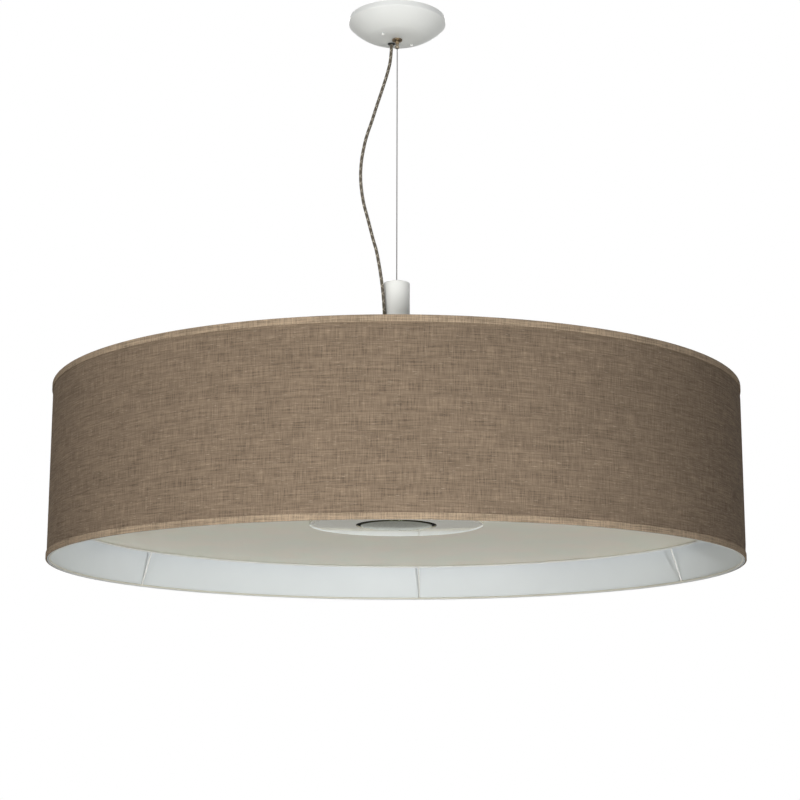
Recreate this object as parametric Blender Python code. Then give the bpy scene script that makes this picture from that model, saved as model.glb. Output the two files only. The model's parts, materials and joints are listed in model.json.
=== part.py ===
# A round drum pendant light with a ceiling canopy, a wire gripper, a diffuser and a central spot lamp.
# Metres, +Z up. The origin is the middle of the ceiling face, and everything hangs below it.
import math

import bmesh
import bpy
from mathutils import Matrix, Vector

# General fits
FIT = 0.0003  # air between two pieces that touch
MERGE = 0.000001  # points closer than this are one point
OVERRUN = 0.002  # how far a cutter reaches past what it cuts
CORNER_ANGLE = math.radians(35)  # sharper edges than this stay sharp

# Facets round each kind of round piece
SHADE_STEPS = 60
PLATE_STEPS = 40
CAN_STEPS = 24
BULB_STEPS = 16
SMALL_STEPS = 12
ROD_STEPS = 8
WIRE_STEPS = 6

# Rounded corners and heads of small turned pieces
CORNER_SHARE = 1 - math.sqrt(1 / 2)  # a round corner's middle point, in from the corner, of its radius
HEAD_CROWN_SHARE = 0.65  # flat crown of a rounded head, of its radius
HEAD_SIDE_SHARE = 0.5  # straight side of a rounded head, of its height

# Shade
DROP = 0.847  # ceiling to the shade's lower edge
SHADE_RADIUS = 0.500  # outside of the trim bands
SHADE_HEIGHT = 0.250
FABRIC_THICKNESS = 0.0008
LINER_THICKNESS = 0.0008
TRIM_THICKNESS = 0.0011
TRIM_HEIGHT = 0.0088  # the trim covers this much of the cloth and turns in over its edge
FRAME_WIRE_RADIUS = 0.0015  # top and bottom wire rings
WELD = 0.0008  # how far welded wires and plates sink into each other

# Diffuser and the wire stand that carries it
DIFFUSER_CLEARANCE = 0.0133  # diffuser's edge to the liner
DIFFUSER_THICKNESS = 0.003
DIFFUSER_RISE = 0.0553  # shade's lower edge to the diffuser's rim
DIFFUSER_CROWN = 0.0085  # the middle stands this much above the rim
DIFFUSER_RINGS = 3
HOUSING_CLEARANCE = 0.002  # diffuser hole round the lamp housing's flange
SUPPORT_INSET = 0.0085  # middle of the support ring, in from the diffuser's edge
SUPPORT_WIRE_RADIUS = 0.00225
POST_COUNT = 6
POST_RADIUS = 0.0012
POST_TURN = math.radians(25.5)  # direction of the first post from +X

# Hub, arms and stem
ARM_RADIUS = 0.0025
ARM_INNER = 0.034
HUB_MARGIN = 0.0020  # hub plate past the junction box under it
HUB_THICKNESS = 0.0025
STEM_RADIUS = 0.0197
STEM_WALL = 0.0015
STEM_HEIGHT = 0.1775  # hub plate to the stem's flat top
STEM_TOP_THICKNESS = 0.002
STEM_EDGE = 0.0016
SOCKET_HEIGHT = 0.014
SOCKET_WALL = 0.004
NIPPLE_FLANGE_RADIUS = 0.0055
NIPPLE_FLANGE = 0.0024
NIPPLE_SHANK_RADIUS = 0.0040
NIPPLE_SHANK = 0.0075
NIPPLE_NUT_RADIUS = 0.0068
NIPPLE_NUT = 0.0030

# Junction box and its screws
BOX_RADIUS = 0.048
BOX_WALL = 0.0015
BOX_HEIGHT = 0.050
LID_THICKNESS = 0.0015
BOX_SCREW_INSET = 0.0070  # middle of a screw, in from the outside of the box
BOX_SCREW_RADIUS = 0.0020
BOX_SCREW_HEAD_RADIUS = 0.0037
BOX_SCREW_HEAD = 0.0024
BOX_SCREW_GRIP = 0.009  # screw length below the box's lid
BOX_SCREW_COUNT = 3
BOX_LUG_RADIUS = 0.0045  # threaded lugs inside the box wall
BOX_LUG_HEIGHT = 0.0070
JOINT_BLOCK_LENGTH = 0.034  # terminal block inside the box
JOINT_BLOCK_WIDTH = 0.017
JOINT_BLOCK_HEIGHT = 0.012

# Lampholders and bulbs
BULB_COUNT = 3
BULB_TURN = math.radians(54.5)  # direction of the first bulb from +X
HOLDER_LENGTH = 0.050
HOLDER_RADIUS = 0.0190
HOLDER_NECK_RADIUS = 0.0135
HOLDER_NECK = 0.014
HOLDER_FLOOR = 0.020  # solid back of the lampholder
HOLDER_BORE_RADIUS = 0.0140
CAP_RADIUS = 0.0131  # bulb's screw cap
CAP_TIP_RADIUS = 0.0080
CAP_TAPER = 0.0040
BULB_NECK_RADIUS = 0.0172
BULB_NECK = 0.024
BULB_SHOULDER_RADIUS = 0.0240
BULB_RADIUS = 0.0300
BULB_DOME = 0.054  # length of the opal dome
BULB_RINGS = 5
CONDUIT_RADIUS = 0.0050  # hollow threaded tube and nipples
CONDUIT_BORE_RADIUS = 0.0035
CONDUIT_END = 0.006  # how far a conduit reaches inside a wall
HEX_NUT_RADIUS = 0.0085
HEX_NUT = 0.0035

# Centre plate, lamp housing and spot lamp
PLATE_RADIUS = 0.127
PLATE_THICKNESS = 0.002
PLATE_HOLE_RADIUS = 0.059
PLATE_ROUND = 0.0006
HOUSING_RADIUS = 0.0617
HOUSING_WALL = 0.0012
HOUSING_FLANGE = 0.0083  # flange width round the housing
HOUSING_HEIGHT = 0.092
HOUSING_SHOULDER = 0.052  # height of the straight part
HOUSING_TOP_RADIUS = 0.036
STUD_COUNT = 3
STUD_RADIUS = 0.0015
STUD_NUT_RADIUS = 0.0032
STUD_NUT = 0.0026
SPOT_STRAP_HALF = 0.016  # bent strap that carries the spot lampholder
SPOT_STRAP_WIDTH = 0.014
SPOT_STRAP_THICKNESS = 0.0014
SOCKET_BLOCK_RADIUS = 0.0145  # spot lampholder
SOCKET_BLOCK_HEIGHT = 0.0194
SOCKET_RIVET_RADIUS = 0.0020
SOCKET_RIVET_TIP = 0.0012  # rivet length above the strap's floor
GROOVE_INNER_RADIUS = 0.0024  # groove for the lamp's pins
GROOVE_OUTER_RADIUS = 0.0078
GROOVE_DEPTH = 0.0092
LENS_RADIUS = 0.0505
LENS_SAG = 0.013
LENS_THICKNESS = 0.0016
LENS_PROUD = 0.0069  # the lens bulges this far below the centre plate
LENS_RINGS = 4
LAMP_RADIUS = 0.0545
LAMP_RIM = 0.0062
LAMP_DEPTH = 0.0540  # lens edge to the top of the lamp's base
LAMP_BASE_RADIUS = 0.0135
LAMP_BASE = 0.013
LAMP_RINGS = 4
PIN_SPREAD = 0.0050
PIN_RADIUS = 0.0012
PIN_LENGTH = 0.0078

# Ceiling canopy
CANOPY_RADIUS = 0.0745
CANOPY_DEPTH = 0.0325
CANOPY_WALL = 0.0012
CANOPY_MOUTH = 0.0007  # the wall draws in this much at the ceiling
CANOPY_SIDE = 0.0085  # ceiling to the widest circle
CANOPY_EDGE = 0.0022  # rounding between wall and dome
CANOPY_FLAT_RADIUS = 0.033
CANOPY_BULGE = 0.0032  # how far the dome bows out of a straight cone
CANOPY_RINGS = 4
SCREW_CIRCLE = 0.0307
SCREW_TURN = math.radians(44)  # direction of the two canopy screws
SCREW_RADIUS = 0.0015
SCREW_HEAD_RADIUS = 0.0027
SCREW_HEAD = 0.0018
SCREW_TIP = 0.0035  # screw length above the bracket's foot
GROMMET_PLACE = (-0.0090, 0.0164)
GROMMET_RADIUS = 0.0058
GROMMET_NECK_RADIUS = 0.0042
GROMMET_FLANGE = 0.0016
GROMMET_LIP_RADIUS = 0.0052  # barbed lip inside the canopy
GROMMET_TIP_RADIUS = 0.0038
GROMMET_HEAD = 0.0045  # length inside the canopy

# Ceiling bracket and terminal block
STRAP_HALF = 0.0355
STRAP_WIDTH = 0.014
STRAP_THICKNESS = 0.0018
STRAP_FOOT = 0.0125
STRAP_BEND = 0.0006
STRAP_CLEARANCE = 0.0010  # strap's feet to the canopy's floor
SLOT_PLACE = 0.021
SLOT_LENGTH = 0.012
SLOT_WIDTH = 0.0046
BLOCK_LENGTH = 0.019
BLOCK_WIDTH = 0.013
BLOCK_HEIGHT = 0.010
BLOCK_PLACE = 0.0225
BLOCK_WAYS = 3
BLOCK_CHANNEL = 0.0035
BLOCK_EDGE = 0.0006

# Wire gripper
FLANGE_RADIUS = 0.0078
FLANGE_HEIGHT = 0.0025
SHANK_RADIUS = 0.0066
SHANK_BORE_RADIUS = 0.0054
SHANK_HEIGHT = 0.0100
COLLAR_NUT_RADIUS = 0.0098
COLLAR_NUT = 0.0035
BALL_RADIUS = 0.0050
BALL_RINGS = 5
THROAT_RADIUS = 0.0040  # collar throat that the ball rests on
MOUTH_RADIUS = 0.0050
MOUTH_DEPTH = 0.00125  # flared mouth below the throat
GUIDE_RADIUS = 0.0031
GUIDE_LENGTH = 0.0051  # guide tube below the flange
BARREL_RADIUS = 0.0036
GRIPPER_CAP_RADIUS = 0.0055
GRIPPER_CAP = 0.0110
GRIPPER_GAP = 0.0024  # collar top to the gripper's cap
CHAMBER_RADIUS = 0.0027
CHAMBER_FLOOR = 0.0040  # above the ball's middle
CHAMBER_ROOF = 0.0012
NOZZLE_RADIUS = 0.0034
NOZZLE_LENGTH = 0.0040
NOZZLE_STROKE = 0.0028  # gap that closes when the nozzle is pressed
NOZZLE_TIP_RADIUS = 0.0026
NOZZLE_TAPER = 0.0013
NOZZLE_SHANK_RADIUS = 0.0021
NOZZLE_BORE_RADIUS = 0.00105
WIRE_RADIUS = 0.00075
WIRE_TAIL = 0.0035  # wire above the gripper
SPRING_WIRE_RADIUS = 0.00025
SPRING_RADIUS = 0.0021
SPRING_CURLS = 5
SPRING_POINTS = 8  # per curl
COLLET_RADIUS = 0.0023  # tapered collet that bites the wire
COLLET_TIP_RADIUS = 0.0016
COLLET_TAPER = 0.0030
COLLET_HEIGHT = 0.0050
FERRULE_RADIUS = 0.0032
FERRULE_LENGTH = 0.0080

# Power cord, as route points from the grommet to the strain relief
CORD_RADIUS = 0.0025
CORD_STEP = 0.0145
CORD_FINE_STEPS = 8  # finer steps that measure the curve, per cord step
CORD_ROUTE = [
    (-0.0090, 0.0164, -0.0347),
    (-0.0093, 0.0164, -0.046),
    (-0.0111, 0.0160, -0.064),
    (-0.0155, 0.0153, -0.083),
    (-0.0209, 0.0143, -0.102),
    (-0.0263, 0.0132, -0.120),
    (-0.0318, 0.0118, -0.138),
    (-0.0387, 0.0098, -0.162),
    (-0.0444, 0.0081, -0.180),
    (-0.0484, 0.0066, -0.195),
    (-0.0518, 0.0047, -0.213),
    (-0.0539, 0.0031, -0.228),
    (-0.0550, 0.0012, -0.245),
    (-0.0549, -0.0004, -0.258),
    (-0.0542, -0.0013, -0.269),
    (-0.0524, -0.0029, -0.284),
    (-0.0493, -0.0047, -0.301),
    (-0.0434, -0.0069, -0.324),
    (-0.0352, -0.0098, -0.357),
    (-0.0305, -0.0112, -0.374),
    (-0.0252, -0.0130, -0.403),
    (-0.0211, -0.0144, -0.433),
    (-0.0191, -0.0151, -0.457),
    (-0.0181, -0.0155, -0.482),
    (-0.0183, -0.0158, -0.512),
    (-0.0197, -0.0167, -0.543),
    (-0.0208, -0.0176, -0.563),
    (-0.0210, -0.0178, -0.5770),
]
RELIEF_PLACE = (-0.0210, -0.0178)
RELIEF_HEIGHT = 0.0213
RELIEF_FOOT_RADIUS = 0.0062
RELIEF_TIP_RADIUS = 0.0038
RELIEF_FOOT = 0.0030
RELIEF_SHANK_RADIUS = 0.0040
RELIEF_SHANK = 0.0080  # length below the box's lid

# Places that follow from the sizes, from the outside of the shade inwards
shade_low = -DROP
shade_top = shade_low + SHADE_HEIGHT
fabric_outer = SHADE_RADIUS - TRIM_THICKNESS - FIT
fabric_inner = fabric_outer - FABRIC_THICKNESS
liner_outer = fabric_inner - FIT
liner_inner = liner_outer - LINER_THICKNESS
frame_ring_radius = liner_inner - FIT - FRAME_WIRE_RADIUS
fold_depth = TRIM_THICKNESS + FIT  # edge of the shade to the cloth that the trim covers
bottom_ring_z = shade_low + FIT + FRAME_WIRE_RADIUS
top_ring_z = shade_top - FIT - FRAME_WIRE_RADIUS

# Top frame
arm_z = top_ring_z - FRAME_WIRE_RADIUS - ARM_RADIUS - FIT
hub_low = arm_z + ARM_RADIUS - WELD
hub_top = hub_low + HUB_THICKNESS
lid_top = arm_z - ARM_RADIUS - FIT
lid_low = lid_top - LID_THICKNESS
box_top = lid_low - FIT
box_low = box_top - BOX_HEIGHT
bulb_axis_z = box_top - BOX_HEIGHT / 2
hub_radius = BOX_RADIUS + HUB_MARGIN
box_screw_circle = BOX_RADIUS - BOX_SCREW_INSET
box_lug_circle = BOX_RADIUS - BOX_WALL - BOX_LUG_RADIUS + WELD
stem_low = hub_top + FIT
stem_top = stem_low + STEM_HEIGHT
stem_bore_radius = STEM_RADIUS - STEM_WALL

# Diffuser, centre plate and lamp housing
diffuser_rim_z = shade_low + DIFFUSER_RISE
diffuser_radius = liner_inner - DIFFUSER_CLEARANCE
support_radius = diffuser_radius - SUPPORT_INSET
housing_flange_radius = HOUSING_RADIUS + HOUSING_FLANGE
diffuser_hole_radius = housing_flange_radius + HOUSING_CLEARANCE


def diffuser_under(radius):
    return diffuser_rim_z + DIFFUSER_CROWN * (1 - (radius / diffuser_radius) ** 2)


support_ring_z = diffuser_under(support_radius) - FIT - SUPPORT_WIRE_RADIUS
plate_top = diffuser_under(PLATE_RADIUS) - FIT
plate_low = plate_top - PLATE_THICKNESS
housing_low = plate_top + FIT
housing_top = housing_low + HOUSING_HEIGHT
housing_ceiling = housing_top - HOUSING_WALL
lens_low = plate_low - LENS_PROUD
lens_edge_z = lens_low + LENS_SAG
lamp_low = lens_edge_z + LENS_THICKNESS + FIT
lamp_top = lens_edge_z + LAMP_DEPTH
socket_low = lamp_top + FIT
socket_top = socket_low + SOCKET_BLOCK_HEIGHT
spot_strap_low = socket_top + FIT
spot_strap_top = housing_ceiling - FIT

# Canopy and gripper
canopy_low = -CANOPY_DEPTH
canopy_floor = canopy_low + CANOPY_WALL
strap_depth = CANOPY_DEPTH - CANOPY_WALL - STRAP_CLEARANCE
flange_top = canopy_low - FIT
flange_low = flange_top - FLANGE_HEIGHT
shank_top = flange_top + SHANK_HEIGHT
throat_z = flange_low + MOUTH_DEPTH
ball_z = throat_z + math.sqrt((BALL_RADIUS + FIT) ** 2 - THROAT_RADIUS**2)
guide_low = flange_low - GUIDE_LENGTH
cap_low = shank_top + GRIPPER_GAP
cap_top = cap_low + GRIPPER_CAP
nozzle_top = guide_low - NOZZLE_STROKE - FIT
nozzle_low = nozzle_top - NOZZLE_LENGTH
chamber_low = ball_z + CHAMBER_FLOOR
chamber_top = cap_top - CHAMBER_ROOF
wire_top = cap_top + WIRE_TAIL
nipple_low = stem_top - NIPPLE_SHANK
ferrule_top = nipple_low - FIT
wire_low = ferrule_top + FIT


def clear_scene():
    for old in list(bpy.data.objects):
        bpy.data.objects.remove(old, do_unlink=True)


def finish(name, colour, roughness, metallic=0.0):
    made = bpy.data.materials.new(name)
    made.use_nodes = True
    shader = made.node_tree.nodes["Principled BSDF"]
    shader.inputs["Base Color"].default_value = (*colour, 1.0)
    shader.inputs["Roughness"].default_value = roughness
    shader.inputs["Metallic"].default_value = metallic
    made.diffuse_color = (*colour, 1.0)
    return made


def keep(name, bm, material):
    """Turn a bmesh into a smooth-shaded object with one material."""
    bmesh.ops.recalc_face_normals(bm, faces=bm.faces)
    mesh = bpy.data.meshes.new(name)
    bm.to_mesh(mesh)
    bm.free()
    mesh.shade_smooth()
    mesh.set_sharp_from_angle(angle=CORNER_ANGLE)
    if material:
        mesh.materials.append(material)
    made = bpy.data.objects.new(name, mesh)
    bpy.context.collection.objects.link(made)
    return made


def turned(outline, steps):
    """Spin an outline of (radius, height) points round Z; one that starts on the axis is left open."""
    bm = bmesh.new()
    points = [bm.verts.new((radius, 0, height)) for radius, height in outline]
    pairs = list(zip(points, points[1:]))
    if outline[0][0] > 0:
        pairs.append((points[-1], points[0]))
    edges = [bm.edges.new(pair) for pair in pairs]
    bmesh.ops.spin(
        bm,
        geom=points + edges,
        axis=(0, 0, 1),
        cent=(0, 0, 0),
        angle=math.tau,
        steps=steps,
        use_merge=True,
    )
    bmesh.ops.remove_doubles(bm, verts=bm.verts, dist=MERGE)
    return bm


def rod(start, end, radius, steps):
    """A capped round bar between two points."""
    start, end = Vector(start), Vector(end)
    along = end - start
    bm = bmesh.new()
    turn = along.to_track_quat("Z", "Y").to_matrix().to_4x4()
    bmesh.ops.create_cone(
        bm,
        cap_ends=True,
        segments=steps,
        radius1=radius,
        radius2=radius,
        depth=along.length,
        matrix=Matrix.Translation((start + end) / 2) @ turn,
    )
    return bm


def bar(low, high):
    """A box between two corners."""
    low, high = Vector(low), Vector(high)
    bm = bmesh.new()
    size = Matrix.Diagonal((*(high - low), 1))
    bmesh.ops.create_cube(bm, size=1, matrix=Matrix.Translation((low + high) / 2) @ size)
    return bm


def softened(bm):
    """Bevel all the edges of a moulded block."""
    bmesh.ops.bevel(
        bm,
        geom=bm.edges[:],
        offset=BLOCK_EDGE,
        segments=1,
        affect="EDGES",
        profile=0.5,
        material=-1,
    )
    return bm


def gathered(parts):
    """Put several bmeshes into one, as separate bodies."""
    whole = bmesh.new()
    for part in parts:
        spare = bpy.data.meshes.new("spare")
        part.to_mesh(spare)
        part.free()
        whole.from_mesh(spare)
        bpy.data.meshes.remove(spare)
    return whole


def moved(bm, matrix):
    bmesh.ops.transform(bm, matrix=matrix, verts=bm.verts)
    return bm


def about_z(angle):
    return Matrix.Rotation(angle, 4, "Z")


def round_the_axis(count, first=0.0):
    return [first + math.tau * i / count for i in range(count)]


def polar(radius, angle, height=0.0):
    return Vector((radius * math.cos(angle), radius * math.sin(angle), height))


def combine(target, bm, name, operation):
    guide = keep(name, bm, None)
    guide.hide_render = True
    guide.display_type = "WIRE"
    boolean = target.modifiers.new(name, "BOOLEAN")
    boolean.operation = operation
    boolean.solver = "EXACT"
    boolean.object = guide


def cut(target, bm, name):
    combine(target, bm, name, "DIFFERENCE")


def weld(target, bm, name):
    combine(target, bm, name, "UNION")


def rounded_head(radius, seat, height, hole=0.0):
    """Outline of a rounded head or flange, from its crown to its seat; a negative height points down."""
    return [
        (hole, seat + height),
        (radius * HEAD_CROWN_SHARE, seat + height),
        (radius, seat + height * HEAD_SIDE_SHARE),
        (radius, seat),
    ]


def arc(start, end, bulge, count):
    """Points from start to end on a shallow arc that bows to its right-hand side by bulge."""
    start, end = Vector(start), Vector(end)
    chord = end - start
    side = Vector((-chord.y, chord.x)).normalized()
    points = []
    for i in range(count + 1):
        share = i / count
        points.append(start + chord * share + side * bulge * 4 * share * (1 - share))
    return [(point.x, point.y) for point in points]


def wire_section(radius, height, wire):
    """Cross-section of a wire ring."""
    points = []
    for angle in round_the_axis(WIRE_STEPS, math.pi / WIRE_STEPS):
        points.append((radius + wire * math.cos(angle), height + wire * math.sin(angle)))
    return points


def smooth_line(route, step):
    """Evenly spaced points on a smooth curve through the route's own points."""
    route = [Vector(point) for point in route]
    ends = [2 * route[0] - route[1]] + route + [2 * route[-1] - route[-2]]
    fine = []
    for a, b, c, d in zip(ends, ends[1:], ends[2:], ends[3:]):
        count = math.ceil((c - b).length * CORD_FINE_STEPS / step)
        for i in range(count):
            t = i / count
            fine.append(
                ((2 * b) + (c - a) * t + (2 * a - 5 * b + 4 * c - d) * t * t
                 + (3 * b - a - 3 * c + d) * t * t * t) / 2
            )
    fine.append(route[-1])
    length = sum((q - p).length for p, q in zip(fine, fine[1:]))
    gap = length / round(length / step)
    spaced, walked = [fine[0]], 0.0
    for p, q in zip(fine, fine[1:]):
        span = (q - p).length
        while walked + span >= gap * len(spaced) and gap * len(spaced) < length - gap / 2:
            spaced.append(p.lerp(q, (gap * len(spaced) - walked) / span))
        walked += span
    spaced.append(fine[-1])
    return spaced


def tube_along(name, points, radius, resolution, material):
    """A round tube with capped ends, as a bevelled curve."""
    curve = bpy.data.curves.new(name, "CURVE")
    curve.dimensions = "3D"
    curve.bevel_depth = radius
    curve.bevel_resolution = resolution
    curve.use_fill_caps = True
    spline = curve.splines.new("POLY")
    spline.points.add(len(points) - 1)
    for slot, point in zip(spline.points, points):
        slot.co = (*point, 1)
    curve.materials.append(material)
    made = bpy.data.objects.new(name, curve)
    bpy.context.collection.objects.link(made)
    return made


# Shade: two skins and two folded trims


def skin(name, outer, thickness, margin, material):
    """A round skin that stops the margin short of the shade's two edges."""
    low = shade_low + margin
    high = shade_top - margin
    inner = outer - thickness
    outline = [(outer, high), (outer, low), (inner, low), (inner, high)]
    keep(name, turned(outline, SHADE_STEPS), material)


def folded_trim(name, edge, inward, material):
    """A band that turns in over the cloth's edge; inward is +1 at the bottom and -1 at the top."""
    outline = [
        (SHADE_RADIUS, 0),
        (SHADE_RADIUS, TRIM_HEIGHT),
        (SHADE_RADIUS - TRIM_THICKNESS, TRIM_HEIGHT),
        (SHADE_RADIUS - TRIM_THICKNESS, TRIM_THICKNESS),
        (fabric_inner, TRIM_THICKNESS),
        (fabric_inner, 0),
    ]
    placed = [(radius, edge + inward * height) for radius, height in outline]
    keep(name, turned(placed, SHADE_STEPS), material)


def build_shade(linen, white_liner, trim):
    skin("shade_fabric", fabric_outer, FABRIC_THICKNESS, fold_depth, linen)
    skin("shade_liner", liner_outer, LINER_THICKNESS, 0, white_liner)
    folded_trim("bottom_trim", shade_low, 1, trim)
    folded_trim("top_trim", shade_top, -1, trim)


# Diffuser, and the welded bottom frame that carries it


def build_diffuser(opal, painted):
    reach = diffuser_radius - diffuser_hole_radius
    radii = [diffuser_hole_radius + reach * i / DIFFUSER_RINGS for i in range(DIFFUSER_RINGS + 1)]
    under = [(radius, diffuser_under(radius)) for radius in radii]
    over = [(radius, height + DIFFUSER_THICKNESS) for radius, height in reversed(under)]
    keep("diffuser", turned(under + over, SHADE_STEPS), opal)

    edge_ring = wire_section(frame_ring_radius, bottom_ring_z, FRAME_WIRE_RADIUS)
    frame = keep("bottom_frame", turned(edge_ring, SHADE_STEPS), painted)
    support = wire_section(support_radius, support_ring_z, SUPPORT_WIRE_RADIUS)
    keep("support_ring", turned(support, SHADE_STEPS), painted)
    posts = []
    for angle in round_the_axis(POST_COUNT, POST_TURN):
        foot = polar(frame_ring_radius, angle, bottom_ring_z)
        seat = polar(support_radius, angle, support_ring_z)
        head = seat - (seat - foot).normalized() * (SUPPORT_WIRE_RADIUS + FIT)
        posts.append(rod(foot, head, POST_RADIUS, ROD_STEPS))
    weld(frame, gathered(posts), "diffuser_posts")


# Top ring, the spider of arms and hub plate that carries it, and the stem


def box_screw_drills(low, high):
    """Clearance holes for the screws that hold the junction box under the hub."""
    drills = []
    for angle in round_the_axis(BOX_SCREW_COUNT, BULB_TURN):
        start, end = polar(box_screw_circle, angle, low), polar(box_screw_circle, angle, high)
        drills.append(rod(start, end, BOX_SCREW_RADIUS + FIT, ROD_STEPS))
    return drills


def build_top_ring_and_spider(painted, zinc, rubber):
    arms = []
    arm_end = frame_ring_radius + FRAME_WIRE_RADIUS / 2
    for angle in round_the_axis(POST_COUNT, POST_TURN):
        start, end = polar(ARM_INNER, angle, arm_z), polar(arm_end, angle, arm_z)
        arms.append(rod(start, end, ARM_RADIUS, ROD_STEPS))
    edge_ring = wire_section(frame_ring_radius, top_ring_z, FRAME_WIRE_RADIUS)
    keep("top_ring", turned(edge_ring, SHADE_STEPS), painted)
    plate_outline = [(0, hub_top), (hub_radius, hub_top), (hub_radius, hub_low), (0, hub_low)]
    spider = keep("spider", turned(plate_outline, CAN_STEPS), painted)
    weld(spider, gathered(arms), "spider_arms")
    lid_outline = [(0, lid_top), (BOX_RADIUS, lid_top), (BOX_RADIUS, lid_low), (0, lid_low)]
    lid = keep("box_lid", turned(lid_outline, CAN_STEPS), painted)

    through = hub_top + OVERRUN
    below = lid_low - OVERRUN
    relief = Vector((*RELIEF_PLACE, 0))
    start, end = relief + Vector((0, 0, below)), relief + Vector((0, 0, through))
    relief_hole = rod(start, end, RELIEF_SHANK_RADIUS + FIT, SMALL_STEPS)
    drill = gathered([relief_hole] + box_screw_drills(below, through))
    cut(spider, drill.copy(), "hub_plate_holes")
    cut(lid, drill, "box_lid_holes")

    shaft_low = lid_low - BOX_SCREW_GRIP
    head_low = hub_top + FIT
    screw = rounded_head(BOX_SCREW_HEAD_RADIUS, head_low, BOX_SCREW_HEAD) + [
        (BOX_SCREW_RADIUS, head_low),
        (BOX_SCREW_RADIUS, shaft_low),
        (0, shaft_low),
    ]
    for number, angle in enumerate(round_the_axis(BOX_SCREW_COUNT, BULB_TURN), 1):
        place = Matrix.Translation(polar(box_screw_circle, angle))
        keep(f"box_screw_{number}", moved(turned(screw, ROD_STEPS), place), zinc)

    strain = [
        (0, hub_top + FIT + RELIEF_HEIGHT),
        (RELIEF_TIP_RADIUS, hub_top + FIT + RELIEF_HEIGHT),
        (RELIEF_FOOT_RADIUS, hub_top + FIT + RELIEF_FOOT),
        (RELIEF_FOOT_RADIUS, hub_top + FIT),
        (RELIEF_SHANK_RADIUS, hub_top + FIT),
        (RELIEF_SHANK_RADIUS, lid_low - RELIEF_SHANK),
        (0, lid_low - RELIEF_SHANK),
    ]
    keep("cord_relief", moved(turned(strain, SMALL_STEPS), Matrix.Translation(relief)), rubber)


def build_stem(painted, zinc, brass):
    roof = stem_top - STEM_TOP_THICKNESS
    hole = NIPPLE_SHANK_RADIUS + FIT
    stem_outline = [
        (hole, stem_top),
        (STEM_RADIUS - STEM_EDGE, stem_top),
        (STEM_RADIUS - STEM_EDGE * CORNER_SHARE, stem_top - STEM_EDGE * CORNER_SHARE),
        (STEM_RADIUS, stem_top - STEM_EDGE),
        (STEM_RADIUS, stem_low),
        (stem_bore_radius, stem_low),
        (stem_bore_radius, roof),
        (hole, roof),
    ]
    keep("stem_tube", turned(stem_outline, CAN_STEPS), painted)

    socket_radius = stem_bore_radius - FIT
    socket_outline = [
        (socket_radius, stem_low),
        (socket_radius, stem_low + SOCKET_HEIGHT),
        (socket_radius - SOCKET_WALL, stem_low + SOCKET_HEIGHT),
        (socket_radius - SOCKET_WALL, stem_low),
    ]
    keep("stem_socket", turned(socket_outline, CAN_STEPS), zinc)

    bore = WIRE_RADIUS + FIT
    seat = stem_top + FIT
    nipple_outline = rounded_head(NIPPLE_FLANGE_RADIUS, seat, NIPPLE_FLANGE, bore) + [
        (NIPPLE_SHANK_RADIUS, seat),
        (NIPPLE_SHANK_RADIUS, nipple_low),
        (bore, nipple_low),
    ]
    keep("stem_nipple", turned(nipple_outline, SMALL_STEPS), painted)

    nut_top = roof - FIT
    keep("nipple_nut", hex_nut(NIPPLE_NUT_RADIUS, NIPPLE_NUT, NIPPLE_SHANK_RADIUS + FIT, nut_top), zinc)

    ferrule_outline = [
        (0, ferrule_top),
        (FERRULE_RADIUS, ferrule_top),
        (FERRULE_RADIUS, ferrule_top - FERRULE_LENGTH),
        (0, ferrule_top - FERRULE_LENGTH),
    ]
    keep("wire_ferrule", turned(ferrule_outline, SMALL_STEPS), brass)


def hex_nut(radius, height, bore, top):
    """A six-sided nut with a round bore, hanging from the height top."""
    corners = 6
    bm = bmesh.new()
    outer = [bm.verts.new(polar(radius, angle, top)) for angle in round_the_axis(corners)]
    inner = [bm.verts.new(polar(bore, angle, top)) for angle in round_the_axis(2 * corners)]
    for i in range(corners):
        a, b = outer[i], outer[(i + 1) % corners]
        p, q, r = inner[2 * i], inner[2 * i + 1], inner[(2 * i + 2) % (2 * corners)]
        bm.faces.new((a, b, q))
        bm.faces.new((a, q, p))
        bm.faces.new((b, r, q))
    made = bmesh.ops.extrude_face_region(bm, geom=bm.faces[:])
    lower = [item for item in made["geom"] if isinstance(item, bmesh.types.BMVert)]
    bmesh.ops.translate(bm, verts=lower, vec=(0, 0, -height))
    return bm


# Junction box, lampholders and bulbs


def lamp_frame(angle):
    """Local +Z points out of the box along one lampholder's axis."""
    seat = polar(BOX_RADIUS + FIT, angle, bulb_axis_z)
    return Matrix.Translation(seat) @ about_z(angle) @ Matrix.Rotation(math.pi / 2, 4, "Y")


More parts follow.
